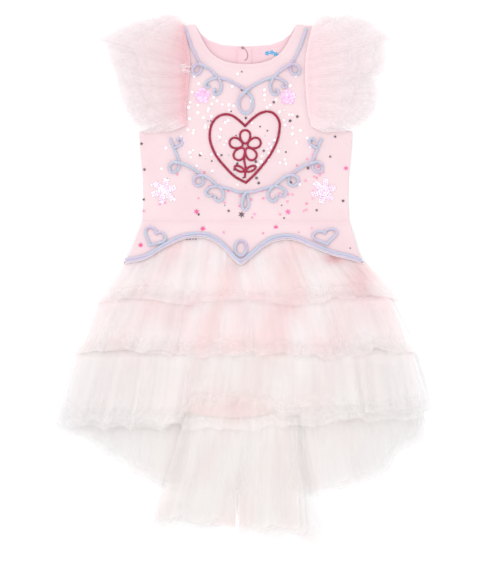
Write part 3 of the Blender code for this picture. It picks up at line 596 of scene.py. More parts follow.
def buildSkirt(materials):
    blush, ivory, lining = materials["blush"], materials["ivory"], materials["lining"]
    table = tierTable
    middle = bodice["middle"]
    underYoke = [(middle + (x - middle) * table["gatherShare"], y + table["gatherUp"]) for x, y in scallop]
    layers = [
        ("front_tier_3", "thirdTop", "thirdHem", 24, 1.1, 3.0, 10.0, ivory, 24),
        ("front_tier_2", "secondTop", "secondHem", 22, 2.7, 5.5, 10.0, blush, 22),
        ("front_tier_1", None, "firstHem", 18, 0.2, 5.5, 9.0, blush, 18),
    ]
    for name, top, hem, folds, seed, rise, high, finish, pleats in layers:
        topEdge = underYoke if top is None else table[top]
        for layer, (share, down, lift) in enumerate(((1.0, 0.0, 0.0), (0.975, 2.5, 0.8), (0.955, 5.0, 1.5))):
            piece = dict(frillBase, top=topEdge, hem=widened(table[hem], share, down), folds=folds, seed=seed,
                         low=0.6, high=high, level=frontLevel(rise), pleats=pleats * (1 + 0.13 * layer),
                         noise=10 * folds + layer, cut=(0.045, 0.05, 0.06)[layer], cuts=(14, 9, 7)[layer],
                         hemFade=(0.35, 0.45, 0.5)[layer], cover=(1.2, 1.0, 1.0)[layer],
                         sideCover=(0.9, 0.0, 0.0)[layer], rootFade=0.0 if top is None else 0.9,
                         lift=lambda fall, lift=lift: 0.15 * lift + lift * fall)
            if name == "front_tier_3" and layer == 1:
                piece.update(hem=table["thirdVeil"])
            single = name == "front_tier_3" and layer == 0
            frill(name + "_layer_" + str(layer + 1), piece, materials["veil"] if single else finish,
                  [name] if layer == 0 else [])
    print("front tiers done")
    bowl = dict(frillBase, top=table["bowlTop"], hem=table["bowlHem"], folds=22, seed=0.9, low=0.8, high=4.6,
                level=shingleLevel(-188, 3.9), hemFade=0.1, rootFade=0.7, pleats=24, noise=301, rows=20)
    frill("back_tier_4_layer_1", bowl, materials["veil"], ["back_tier_4"])
    for layer, (share, down, lift) in enumerate(((0.97, 6, 1.0), (0.94, 13, 2.0)), 2):
        over = dict(bowl, hem=widened(table["bowlHem"], share, down), noise=301 + 10 * layer,
                    lift=lambda fall, lift=lift: 0.6 + lift * fall)
        frill("back_tier_4_layer_" + str(layer), over, materials["shade"], [])
    tails = (
        (table["tailHem"], 0.0, 1.5),
        ([(-123, -337), (-60, -349), (-11, -348), (14, -356), (84, -358), (86, -350)], 0.9, 1.0),
        ([(-117, -330), (-60, -344), (-11, -346), (14, -348), (74, -350), (78, -344)], 1.8, 1.0),
    )
    for layer, (hem, lift, cover) in enumerate(tails, 1):
        piece = dict(frillBase, top=table["tailTop"], hem=hem, folds=9, seed=2.2, low=0.6, high=4.5,
                     level=lambda x, y, fall: 8.6 * smoothStep(-348, -304, y), sink=2.5,
                     pleats=12 + 2 * layer, noise=400 + layer, columns=360, rows=24, cuts=7,
                     slits=[(-8.5, 0.74, 2.4)], edgeFade=0.6, hemFade=0.0, cover=cover,
                     lift=lambda fall, lift=lift: lift * (0.5 + fall))
        frill("back_tail_layer_" + str(layer), piece, materials["veil" if layer == 1 else "shade"],
              ["back_tail"] if layer == 1 else [])
    backs = [
        ("back_tier_1", [(-160, 25.7), (165, 25.7)], [(-204, -33), (220, -33)], 9, 0.4,
         slopedLevel(0, 0), blush),
        ("back_tier_2", [(-186, -16), (196, -16)], [(-236, -104), (240, -104)], 10, 1.9,
         shingleLevel(-33, 3.9), blush),
        ("back_tier_3", [(-222, -88), (230, -88)], [(-262, -188), (262, -188)], 11, 3.2,
         shingleLevel(-104, 3.9), ivory),
    ]
    for name, top, hem, folds, seed, level, finish in backs:
        piece = dict(frillBase, top=top, hem=hem, folds=folds, seed=seed, low=0.5, high=2.0, level=level,
                     pleats=40, noise=500 + folds, billow=0.4, faceUp=False)
        frill(name + "_frill", piece, finish, [name])
    print("back tiers done")
    plain = dict(frillBase, folds=3, seed=0.0, low=0.0, high=0.0, columns=160, rows=14, ragged=0.0, cut=0.0,
                 sway=0.0, drift=0.0, pleats=26, fullness=1.05, billow=0.0)
    top = [(-158, 15), (160, 15)]
    back = dict(plain, top=top, hem=[(-212, -176), (216, -176)], noise=601, faceUp=False,
                level=lambda x, y, fall: stackHeight(y))
    frontHem = [
        (-216, -184), (-110, -186), (-84, -188), (-60, -193), (-20, -197), (12, -196), (32, -192), (52, -185),
        (80, -182), (220, -178),
    ]
    # beside the tail the lining's hem sinks on to the back tiers
    settled = lambda x, y: 4.5 * smoothStep(82, 112, np.abs(x)) * smoothStep(-145, -184, y)
    front = dict(plain, top=top, hem=frontHem, noise=611,
                 level=lambda x, y, fall: stackHeight(y) + 1.5 + tailStep(y) - settled(x, y))
    frill("lining_back_panel", back, lining, ["lining_back"])
    frill("lining_front_panel", front, lining, ["lining_front"])


sleeves = {
    "left": {
        "root": [(-83, 352), (-76, 318), (-74, 294), (-77, 261), (-80, 230), (-79, 212)],
        "hem": [(-92, 366), (-112, 370), (-124, 364), (-151, 362), (-174, 351), (-206, 337), (-197, 328),
                (-189, 295), (-177, 259), (-167, 230), (-153, 211), (-133, 201), (-100, 203)],
        "seed": 0.7, "outward": -1,
    },
    "right": {
        "root": [(97, 351), (89, 316), (87, 291), (88, 259), (91, 230), (96, 210)],
        "hem": [(104, 362), (114, 368), (129, 363), (147, 368), (165, 363), (190, 354), (215, 340),
                (205, 328), (205, 292), (189, 280), (194, 260), (187, 230), (163, 210), (140, 202),
                (112, 202)],
        "seed": 2.9, "outward": 1,
    },
}


def buildSleeves(materials):
    for side, sleeve in sleeves.items():
        root, hem, seed = sleeve["root"], sleeve["hem"], sleeve["seed"]
        shares = np.linspace(0, 1, 60)
        rootSpots, hemSpots = curveAt(root, shares), curveAt(hem, shares)
        base = dict(frillBase, top=root, columns=520, rows=20, pleats=24, pleatDepth=0.36, gatherDepth=0.05,
                    sway=0.04, drift=1.5, softness=0.55, blush=0.0, billow=0.8, cuts=9, cut=0.04)
        layers = [
            ("lower_1", 1.0, 10, seed, 6.2, 6.2, 7.0, "sleeve_" + side + "_lower_frill"),
            ("lower_2", 0.93, 10, seed, 7.4, 9.0, 7.0, None),
            ("upper_1", 0.8, 8, seed + 1.5, 9.0, 14.6, 6.0, "sleeve_" + side + "_upper_frill"),
            ("upper_2", 0.62, 8, seed + 1.5, 10.4, 17.4, 5.4, None),
        ]
        for name, share, folds, turn, low, high, depth, node in layers:
            outer = [tuple(spot) for spot in rootSpots + (hemSpots - rootSpots) * share]
            outermost = name == "lower_1"
            piece = dict(base, hem=outer, folds=folds, seed=turn, low=0.8, high=depth,
                         hemFade=0.0 if outermost else 0.5, rootFade=0.35, cover=1.5 if outermost else 1.0,
                         level=slopedLevel(low, high),
                         noise=700 + len(name) * 7 + round(100 * share + 10 * turn))
            frill("sleeve_" + side + "_" + name, piece, materials["sleeve" + side],
                  [node] if node else [])
        armhole = bodice["armhole"] if side == "left" else mirrored(bodice["armhole"])[::-1]
        backRoot = [(x + 2.4 * sleeve["outward"], y) for x, y in armhole[2:][::-1]]
        outer = curveAt(hem[:-2], shares)
        inner = curveAt(backRoot, shares)
        backHem = [tuple(spot) for spot in inner + (outer - inner) * 0.93]
        piece = dict(base, top=backRoot, hem=backHem, folds=6, seed=seed + 3, low=0.4, high=3.0, billow=0.2,
                     hemFade=0.0, cover=1.3, level=slopedLevel(0, 0), noise=790 + round(seed * 10),
                     faceUp=False)
        frill("sleeve_" + side + "_behind", piece, materials["sleeve" + side],
              ["sleeve_" + side + "_back_frill"])
    print("sleeves done")


def buildBodice(materials):
    jersey = materials["jersey"]
    sideLeft, armhole = bodice["sideSeam"], bodice["armhole"]
    wall = bodice["wall"]
    front = sideLeft + armhole + bodice["frontNeck"] + [bodice["frontNeckBottom"]]
    front = front + mirrored(bodice["frontNeck"]) + mirrored(armhole) + mirrored(sideLeft)
    softHeight = lambda x, y: float(frontHeight(x, y) + creaseHeight(x, y) + 0.5)
    clothPanel("bodice_front_cloth", smoothOutline(front, (0, 4, 11, 12, 22, 23, 30, 34)), softHeight,
               wall - 0.5, 4.5, jersey, ["bodice_front"])
    middle = bodice["backOpening"]
    waist = bodice["waistSeam"]
    neckY = bodice["backNeckBottom"][1]
    left = sideLeft + armhole + bodice["backNeck"] + [(middle - 0.15, neckY), (middle - 0.15, waist)]
    right = [(middle + 0.15, waist), (middle + 0.15, neckY)] + mirrored(bodice["backNeck"])
    right = right + mirrored(armhole) + mirrored(sideLeft)
    clothPanel("bodice_back_left_cloth", left, lambda x, y: 0.1, wall - 0.2, 7,
               materials["inside"], ["bodice_back_left"])
    clothPanel("bodice_back_right_cloth", right, lambda x, y: 0.1, wall - 0.2, 7,
               materials["inside"], ["bodice_back_right"])
    strip = [(-8, 172), (12, 172), (12, 321), (-8, 321)]
    clothPanel("back_opening_facing", strip, lambda x, y: wall + 0.2, 0.8, 5, materials["inside"],
               ["back_opening_strip"])
    top = waist - 0.05
    lobes = [tuple(spot) for spot in roundCurve(scallop, False, 4.0)]
    yoke = [(-141, top), (149, top), (154, 58), (160, 35)] + lobes[::-1] + [(-156, 35), (-148, 58)]
    settled = lambda x, y: 2.2 * smoothStep(9.0, 0.0, distanceToEdge(lobes, x, y))
    clothPanel("yoke_front_cloth", yoke,
               lambda x, y: float(yokeHeight(x, y) + creaseHeight(x, y) + 0.4 - settled(x, y)),
               wall - 0.4, 3.5, jersey, ["yoke_front"])
    hem = bodice["backYokeHem"]
    back = [(-141, top), (149, top), (154, 58), (160, hem), (-158, hem), (-148, 58)]
    clothPanel("yoke_back_cloth", back, lambda x, y: 0.1, wall - 0.2, 7,
               materials["inside"], ["yoke_back"])
    print("bodice and yoke done")


def smoothOutline(outline, corners):
    # rounds the outline between its sharp corners
    marks = sorted(set(corners))
    turned = outline[marks[0]:] + outline[:marks[0]]
    marks = [mark - marks[0] for mark in marks] + [len(outline)]
    closed = turned + [turned[0]]
    smooth = []
    for start, end in zip(marks, marks[1:]):
        run = closed[start:end + 1]
        spots = roundCurve(run, False, 5.0) if len(run) > 2 else np.array(run, dtype=float)
        smooth += [tuple(spot) for spot in spots[:-1]]
    return smooth


# Cord and beads

cordWork = {
    "plyRadius": 1.12, "plyOffset": 1.1, "plies": 3, "pitch": 8.0, "sides": 6, "spacing": 1.1,
    "sunk": 0.85, "fluff": 0.12, "tuftLength": 5, "noise": 900,
    "neck": [
        (-81, 348, 0), (-73, 324, 0), (-64, 305, 0), (-58, 294, 0), (-61, 285, 0), (-68, 283, 0),
        (-71, 290, 1.6), (-64, 297, 3.4), (-55, 295, 3.0), (-44, 288, 0), (-35, 279.5, 0), (-24, 276, 0),
        (-13, 271, 0), (-3, 265, 0),
    ],
    "neckDrop": [
        (5, 259, 0), (12, 251, 0), (14, 241, 0), (11, 232, 0), (4, 228.5, 0), (-3, 232, 0), (-6, 241, 0),
        (-4, 251, 1.8), (4, 259, 3.6),
    ],
    "waist": [
        (-102, 194, 0), (-97, 181, 0), (-92, 169, 0), (-89, 157, 0), (-93, 148, 0), (-101, 147, 0),
        (-103, 155, 0), (-97, 160, 1.8), (-88, 159, 3.4), (-77, 155, 2.2), (-66, 148, 0), (-57, 140, 0),
        (-56, 131, 0), (-63, 127, 0), (-69, 133, 0), (-66, 140, 1.8), (-57, 142, 3.4), (-47, 137, 2.2),
        (-35, 127.5, 0), (-20, 123, 0), (-8, 119, 0),
    ],
    "waistDrop": [
        (4, 117, 0), (7.5, 108, 0), (7.5, 99, 0), (3, 93.5, 0), (-1, 98, 0), (-1, 107, 1.8), (4, 117, 3.6),
    ],
    # hooks and curls that branch off the scrolls, on the left; the right has them mirrored
    "hooks": {
        "neck_hook_out": [(-35, 279, 1.8), (-43, 276.6, 0), (-50.4, 272.5, 0), (-53, 267.4, 0),
                          (-49.6, 264.6, 0), (-46, 267, 0)],
        "neck_hook_in": [(-35, 278.7, 1.8), (-31, 271.5, 0), (-30.5, 263.3, 0), (-34, 256, 0),
                         (-39.1, 255, 0), (-41, 259.4, 0), (-38, 262.6, 0)],
        "waist_hook_out": [(-35, 127.2, 1.8), (-43.2, 125.7, 0), (-50.4, 121.5, 0), (-51.8, 116.2, 0),
                           (-47.3, 113, 0), (-42.4, 115, 0)],
        "waist_hook_in": [(-35, 127, 1.8), (-28, 119.5, 0), (-27.8, 110.3, 0), (-33.4, 105.6, 0),
                          (-39.1, 108.8, 0), (-38.2, 113, 0)],
        "waist_curl": [(-96.5, 179.5, 1.8), (-91.5, 182.1, 0), (-86.3, 185.4, 0), (-85.4, 190.6, 0),
                       (-89.2, 193.4, 0), (-92.3, 189.4, 0)],
    },
}


def heartRoute(x, tip, width, height, turn, count):
    route = []
    for index in range(count):
        angle = 2 * math.pi * index / count
        across = math.sin(angle) ** 3 * width / 2
        up = 13 * math.cos(angle) - 5 * math.cos(2 * angle) - 2 * math.cos(3 * angle) - math.cos(4 * angle)
        up = (up + 17) / 29 * height
        route.append((x + across * math.cos(turn) + up * math.sin(turn),
                      tip + up * math.cos(turn) - across * math.sin(turn), 0))
    return route


def laidRoute(route, closed, spacing, radius):
    laid = roundCurve(route, closed, spacing)
    heights = [frontTop(x, y) + lift + radius for x, y, lift in laid]
    return np.column_stack([laid[:, :2], heights])


def twistedCord(name, route, closed, material, node, stout=1.0):
    # plies wound round the route; the pitch is fitted so that a closed cord meets itself
    ply, spread = cordWork["plyRadius"] * stout, cordWork["plyOffset"] * stout
    radius = spread + ply * cordWork["sunk"]
    laid = laidRoute(route, closed, cordWork["spacing"], radius)
    count = len(laid)
    length = np.linalg.norm(np.diff(laid, axis=0), axis=1).sum()
    turns = max(1, round(length / cordWork["pitch"]))
    ahead = np.roll(laid, -1, axis=0) - np.roll(laid, 1, axis=0)
    if not closed:
        ahead[0], ahead[-1] = laid[1] - laid[0], laid[-1] - laid[-2]
    ahead /= np.linalg.norm(ahead, axis=1)[:, None]
    side = np.cross(np.array([0, 0, 1.0]), ahead)
    side /= np.linalg.norm(side, axis=1)[:, None]
    up = np.cross(ahead, side)
    angle = 2 * np.pi * turns * np.arange(count) / (count if closed else count - 1)
    points, faces = [], []
    sides = cordWork["sides"]
    for strand in range(cordWork["plies"]):
        phase = angle + 2 * np.pi * strand / cordWork["plies"]
        offset = spread * (np.cos(phase)[:, None] * side + np.sin(phase)[:, None] * up)
        start = len(points)
        tufts = waviness(np.linspace(0, 1, count), count / cordWork["tuftLength"], cordWork["noise"] + strand)
        fluff = 1 + cordWork["fluff"] * tufts
        for index in range(count):
            for corner in range(sides):
                turn = 2 * math.pi * corner / sides
                spoke = math.cos(turn) * side[index] + math.sin(turn) * up[index]
                points.append((laid[index] + offset[index] + ply * fluff[index] * spoke) * mm)
        for index in range(count if closed else count - 1):
            follow = (index + 1) % count
            for corner in range(sides):
                other = (corner + 1) % sides
                faces.append((start + index * sides + corner, start + follow * sides + corner,
                              start + follow * sides + other, start + index * sides + other))
        if not closed:
            faces.append(tuple(start + corner for corner in range(sides)))
            faces.append(tuple(start + (count - 1) * sides + corner for corner in reversed(range(sides))))
    made = newPiece(name, points, faces, material, [node] if node else [])
    work = bmesh.new()
    work.from_mesh(made.data)
    bmesh.ops.recalc_face_normals(work, faces=work.faces[:])
    work.to_mesh(made.data)
    work.free()
    return made


def buildCords(materials):
    cord = materials["cord"]
    neck = cordWork["neck"] + cordWork["neckDrop"] + mirrored(cordWork["neck"])
    twistedCord("neck_scroll", neck, False, cord, "neck_scroll_cord")
    waist = cordWork["waist"] + cordWork["waistDrop"] + mirrored(cordWork["waist"])
    twistedCord("waist_scroll", waist, False, cord, "waist_scroll_cord")
    edge = [(x * 0.985, y + 6, 0) for x, y in scallop]
    twistedCord("yoke_edge_scroll", edge, False, cord, "yoke_edge_cord")
    edge = [(x * 0.99, y + 2.7, 0) for x, y in scallop]
    twistedCord("yoke_edge_second_strand", edge, False, materials["lilac"], None, 0.66)
    for label, route in cordWork["hooks"].items():
        twistedCord(label + "_left", route, False, cord, None)
        twistedCord(label + "_right", mirrored(route), False, cord, None)
    heart = heartRoute(-131, 43, 30, 25, 0.5, 22)
    twistedCord("hip_heart_left_cord", heart, True, cord, "hip_heart_left")
    heart = heartRoute(117.4, 44.5, 34, 21, -0.2, 22)
    twistedCord("hip_heart_right_cord", heart, True, cord, "hip_heart_right")
    ring = [(-3 + 8 * math.sin(a), 40 + 10.5 * math.cos(a), 0) for a in np.linspace(0, 2 * math.pi, 17)[:-1]]
    twistedCord("hip_loop_cord", ring, True, cord, "hip_loop")
    print("cords done")


# Geometry Nodes: one tree strings small parts along a path, one scatters them on points

def newTree(name, inputs):
    tree = bpy.data.node_groups.new(name, "GeometryNodeTree")
    tree.interface.new_socket("Geometry", in_out="INPUT", socket_type="NodeSocketGeometry")
    for label, kind in inputs:
        tree.interface.new_socket(label, in_out="INPUT", socket_type=kind)
    tree.interface.new_socket("Geometry", in_out="OUTPUT", socket_type="NodeSocketGeometry")
    return tree, tree.nodes.new("NodeGroupInput"), tree.nodes.new("NodeGroupOutput")


def stringTree():
    # beads or stitches along a path: spacing, and the size of one along, across and up
    tree, given, result = newTree("along_a_path", [
        ("Spacing", "NodeSocketFloat"), ("Size", "NodeSocketVector"), ("Finish", "NodeSocketMaterial")])
    path = addNode(tree, "GeometryNodeMeshToCurve", links={0: given.outputs["Geometry"]})
    spaced = addNode(tree, "GeometryNodeResampleCurve", {"mode": "LENGTH"},
                     links={"Curve": path.outputs[0], "Length": given.outputs["Spacing"]})
    tangent = addNode(tree, "GeometryNodeInputTangent")
    turned = addNode(tree, "FunctionNodeAlignRotationToVector", {"axis": "X"},
                     links={"Vector": tangent.outputs[0]})
    bead = addNode(tree, "GeometryNodeMeshUVSphere", values={"Segments": 8, "Rings": 6, "Radius": 0.5})
    smoothBead = addNode(tree, "GeometryNodeSetShadeSmooth", links={"Geometry": bead.outputs[0]})
    strung = addNode(tree, "GeometryNodeInstanceOnPoints",
                     links={"Points": spaced.outputs[0], "Instance": smoothBead.outputs[0],
                            "Rotation": turned.outputs[0], "Scale": given.outputs["Size"]})
    real = addNode(tree, "GeometryNodeRealizeInstances", links={0: strung.outputs[0]})
    painted = addNode(tree, "GeometryNodeSetMaterial",
                      links={"Geometry": real.outputs[0], "Material": given.outputs["Finish"]})
    tree.links.new(painted.outputs[0], result.inputs[0])
    return tree


def scatterTree(points, inner):
    # flat sequins on points: a star with that many points, or a disc where inner is 1
    tree, given, result = newTree("sequins_" + str(points) + "_" + str(round(inner * 100)), [
        ("Size", "NodeSocketFloat"), ("Thickness", "NodeSocketFloat"), ("Seed", "NodeSocketInt"),
        ("Finish", "NodeSocketMaterial")])
    spots = addNode(tree, "GeometryNodeMeshToPoints", links={0: given.outputs["Geometry"]})
    star = addNode(tree, "GeometryNodeCurveStar",
                   values={"Points": points, "Inner Radius": 0.5 * inner, "Outer Radius": 0.5})
    filled = addNode(tree, "GeometryNodeFillCurve", {"mode": "NGONS"}, links={"Curve": star.outputs[0]})
    solid = addNode(tree, "GeometryNodeExtrudeMesh", {"mode": "FACES"},
                    values={"Offset Scale": 0.1}, links={"Mesh": filled.outputs[0]})
    spin = addNode(tree, "FunctionNodeRandomValue", {"data_type": "FLOAT_VECTOR"},
                   values={0: (-0.16, -0.16, 0.0), 1: (0.16, 0.16, 6.28)},
                   links={"Seed": given.outputs["Seed"]})
    growth = addNode(tree, "FunctionNodeRandomValue", {"data_type": "FLOAT"},
                     values={2: 0.85, 3: 1.15}, links={"Seed": given.outputs["Seed"]})
    size = addNode(tree, "ShaderNodeMath", {"operation": "MULTIPLY"},
                   links={0: growth.outputs[1], 1: given.outputs["Size"]})
    scaled = addNode(tree, "ShaderNodeCombineXYZ", links={0: size.outputs[0], 1: size.outputs[0],
                                                         2: given.outputs["Thickness"]})
    laid = addNode(tree, "GeometryNodeInstanceOnPoints",
                   links={"Points": spots.outputs[0], "Instance": solid.outputs[0],
                          "Rotation": spin.outputs[0], "Scale": scaled.outputs[0]})
    real = addNode(tree, "GeometryNodeRealizeInstances", links={0: laid.outputs[0]})
    painted = addNode(tree, "GeometryNodeSetMaterial",
                      links={"Geometry": real.outputs[0], "Material": given.outputs["Finish"]})
    tree.links.new(painted.outputs[0], result.inputs[0])
    return tree


def growPiece(name, points, edges, tree, inputs, material, nodes=()):
    # runs a tree on a bare mesh of points or lines and keeps the result as a plain mesh
    seedMesh = bpy.data.meshes.new(name + "_seed")
    seedMesh.from_pydata([tuple(point) for point in points], edges, [])
    grower = bpy.data.objects.new(name + "_seed", seedMesh)
    bpy.context.scene.collection.objects.link(grower)
    modifier = grower.modifiers.new("grow", "NODES")
    modifier.node_group = tree
    sockets = {item.name: item.identifier for item in tree.interface.items_tree if item.in_out == "INPUT"}
    for label, value in inputs.items():
        modifier[sockets[label]] = value
    modifier[sockets["Finish"]] = material
    seen = grower.evaluated_get(bpy.context.evaluated_depsgraph_get())
    mesh = bpy.data.meshes.new_from_object(seen)
    mesh.name = name
    bpy.data.objects.remove(grower)
    if not mesh.materials:
        mesh.materials.append(material)
    made = bpy.data.objects.new(name, mesh)
    bpy.context.scene.collection.objects.link(made)
    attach(made, "root")
    if nodes:
        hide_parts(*nodes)
    return made


def pathMesh(runs):
    # several runs of points as one mesh of lines; a run is (points, closed)
    points, edges = [], []
    for run, closed in runs:
        start = len(points)
        points += [tuple(np.array(spot) * mm) for spot in run]
        edges += [(start + i, start + i + 1) for i in range(len(run) - 1)]
        if closed:
            edges.append((start + len(run) - 1, start))
    return points, edges


heartWork = {
    "left": [
        (3, 210.8), (-7.3, 220.1), (-16.5, 225.8), (-26.7, 226.9), (-37.1, 222.2), (-44.2, 212),
        (-46.6, 198.5), (-44.7, 185.2), (-37.1, 168.7), (-24.8, 153.3), (-11.3, 140), (4.1, 131.7),
    ],
    "right": [
        (4.1, 131.7), (16.4, 143.1), (28.7, 157.5), (38.9, 171.8), (47.2, 188.3), (50.8, 203.7), (50.8, 217),
        (44.1, 227.4), (34.9, 231), (23.5, 228.3), (12.3, 220.1), (3, 210.8),
    ],
    "flower": {"x": 3.0, "y": 182.5, "petals": 5, "length": 19.0, "width": 8.6, "centre": 3.6},
    "stem": [(3.0, 178, 0), (1.6, 164, 0), (3.6, 152, 0), (2.6, 139, 0)],
    "leaf": {"y": 148.5, "gap": 1.5, "length": 14.5, "width": 3.6, "outward": 0.92, "upward": 0.34},
    "spacing": 2.0, "lift": 0.9,
}


def beadLine(route, closed):
    return laidRoute([(x, y, 0) for x, y in route], closed, 1.0, heartWork["lift"]), closed


def flowerRuns():
    # the small five-petal flower inside the heart, with a stem and two leaves
    bloom = heartWork["flower"]
    runs = []
    for petal in range(bloom["petals"]):
        turn = 2 * math.pi * petal / bloom["petals"] + math.pi / 2
        loop = []
        for step in range(18):
            angle = 2 * math.pi * step / 18
            outward = 0.5 - 0.5 * math.cos(angle)
            along = bloom["centre"] + bloom["length"] * outward
            across = bloom["width"] * math.sin(angle) * (0.65 + 0.35 * outward)
            loop.append((bloom["x"] + along * math.cos(turn) - across * math.sin(turn),
                         bloom["y"] + along * math.sin(turn) + across * math.cos(turn)))
        runs.append(beadLine(loop, True))
    runs.append((laidRoute(heartWork["stem"], False, 1.0, heartWork["lift"]), False))
    leaf = heartWork["leaf"]
    for side in (-1, 1):
        loop = []
        for step in range(14):
            angle = 2 * math.pi * step / 14
            along = leaf["length"] * (0.5 - 0.5 * math.cos(angle))
            loop.append((bloom["x"] + side * (leaf["gap"] + along * leaf["outward"]),
                         leaf["y"] + leaf["upward"] * along + leaf["width"] * math.sin(angle)))
        runs.append(beadLine(loop, True))
    return runs


def buildBeads(materials):
    tree = stringTree()
    points, edges = pathMesh([beadLine(heartWork["left"], False), beadLine(heartWork["right"], False)])
    size = {"Spacing": heartWork["spacing"] * mm, "Size": (2.3 * mm, 4.3 * mm, 2.5 * mm)}
    growPiece("beaded_heart_beads", points, edges, tree, size, materials["beads"], ["beaded_heart"])
    points, edges = pathMesh(flowerRuns())
    size = {"Spacing": heartWork["spacing"] * mm, "Size": (2.3 * mm, 3.7 * mm, 2.3 * mm)}
    growPiece("beaded_flower", points, edges, tree, size, materials["beads"])
    print("beads done")
    return tree


def stitchLine(route, closed, drop):
    laid = roundCurve([(x, y, 0) for x, y in route], closed, 2.0)
    return np.column_stack([laid[:, :2], [frontTop(x, y) + drop for x, y, _ in laid]])


def buildStitches(materials, tree):
    waist = bodice["waistSeam"]
    neck = bodice["frontNeck"] + [bodice["frontNeckBottom"]] + mirrored(bodice["frontNeck"])
    # a row of topstitching round the neck and one on each side of the waist seam
    inset = [(x, y - 5.0) if abs(x - 4) < 50 else (x + (-5.0 if x < 4 else 5.0), y - 1.5) for x, y in neck]
    runs = [(stitchLine(inset, False, 0.15), False)]
    runs.append((stitchLine([(-139, waist - 2.6), (4, waist - 2.6), (147, waist - 2.6)], False, 0.1), False))
    runs.append((stitchLine([(-138, waist + 2.4), (4, waist + 2.4), (146, waist + 2.4)], False, 0.1), False))
    points, edges = pathMesh(runs)
    size = {"Spacing": 3.0 * mm, "Size": (2.1 * mm, 0.42 * mm, 0.4 * mm)}
    growPiece("topstitching", points, edges, tree, size, materials["thread"])
    # the scalloped edge is whipped over with white thread
    points, edges = pathMesh([(stitchLine([(x, y + 0.3) for x, y in scallop], False, -0.4), False)])
    whipped = {"Spacing": 0.9 * mm, "Size": (0.8 * mm, 1.9 * mm, 0.9 * mm)}
    growPiece("yoke_edge_whipping", points, edges, tree, whipped, materials["white"])
    inside = []
    for x in (-5.5, 9.5):
        run = [(x, 175 + step * 4.0, bodice["wall"] + 1.1) for step in range(37)]
        inside.append((run, False))
    neckRun = roundCurve([(x, y - 4.5, 0) for x, y in bodice["backNeck"][1:]
                          + [bodice["backNeckBottom"]] + mirrored(bodice["backNeck"])[:-1]], False, 2.0)
    inside.append(([(x, y, bodice["wall"] + 0.08) for x, y, _ in neckRun], False))
    points, edges = pathMesh(inside)
    growPiece("inside_stitching", points, edges, tree, size, materials["thread"])
    print("stitches done")


# Sequins, listed one by one where they are large and scattered by a seed where they are small

sequins = {
    "darkStars": [
        (101, 182), (122, 168), (91, 152), (67, 132), (22, 131), (113, 121), (103, 93), (140, 106), (19, 138),
        (76, 224), (-142, 186), (-139, 108), (-138, 150), (-20, 92), (-62, 87), (-30, 170), (29, 176),
        (-8, 158), (18, 161), (129, 196), (4, 222), (43, 244), (66, 218), (-60, 170), (-12, 150),
    ],
    "largeStar": [(-2, 87)],
    "pinkStars": [(63, 91), (-65, 91), (46, 69), (-56, 67), (144, 152), (-143, 44)],
    # partly real, partly painted shadow: dark sequins along the scalloped yoke edge, which also stand in for
    # the shadow under that edge
    "edgeDarkAndShadow": [
        (-78, 52), (-74, 52.4), (-70, 52.6), (-66, 52.6), (-116, 43), (-113, 44.5), (-165, 20),
        (20, 37), (62, 54), (66, 54), (110, 38), (146, 28), (166, 20), (-22, 37), (150, 40),
    ],
    "pearls": [
        (-68, 280), (-62, 270), (-71, 258), (-63, 240), (-74, 244), (-76, 237), (-48, 235), (-75, 221),
        (-69, 205), (-53, 209), (-108, 180), (-70, 177), (38, 240), (74, 280), (66, 267), (59, 212),
        (75, 187), (90, 194), (60, 158), (-15, 266), (-41, 251), (-13, 239), (-65, 155), (-114, 151),
        (-43, 148), (-8, 129), (-87, 196), (-84, 190), (12, 246), (-20, 240), (-110, 118), (-96, 108),
        (-128, 128),
    ],
    "patches": [(-57, 253, 11, 9), (63, 251, 11, 9)],
    "hipMotifs": [(-111, 120), (113, 120)],
}


def scattered(count, seed, middle, spread, keep):
    # places round a middle, each at least 3.6 mm from the others
    generator = random.Random(seed)
    found = []
    tries = 0
    while len(found) < count and tries < count * 200:
        tries += 1
        x = generator.gauss(middle[0], spread[0])
        y = generator.gauss(middle[1], spread[1])
        near = any(math.hypot(x - a, y - b) < 3.6 for a, b in found)
        if keep(x, y) and not near:
            found.append((x, y))
    return found


def onFront(x, y):
    # within the bodice's front: it widens below the armholes, and the neck dips into it
    away = x - bodice["middle"]
    inBodice = abs(away) < 76 + 66 * float(smoothStep(232, 204, y)) and 80 < y < 290
    underNeck = y < 292 - 0.012 * away ** 2
    return inBodice and underNeck


def sequinPoints(places, lift=0.35):
    return [(x * mm, y * mm, (frontTop(x, y) + lift) * mm) for x, y in places]


def motifPlaces(x, y, petals, radius, spacing):
    # a generic flower of small sequins: petals round a middle
    places = [(x, y)]
    for petal in range(petals):
        turn = 2 * math.pi * petal / petals + 0.3
        for step in range(1, int(radius / spacing) + 1):
            away = step * spacing
            width = 0.9 * math.sin(math.pi * step / (radius / spacing + 1))
            for side in (-1, 0, 1):
                places.append((x + away * math.cos(turn) - side * width * spacing * math.sin(turn),
                               y + away * math.sin(turn) + side * width * spacing * math.cos(turn)))
    return places


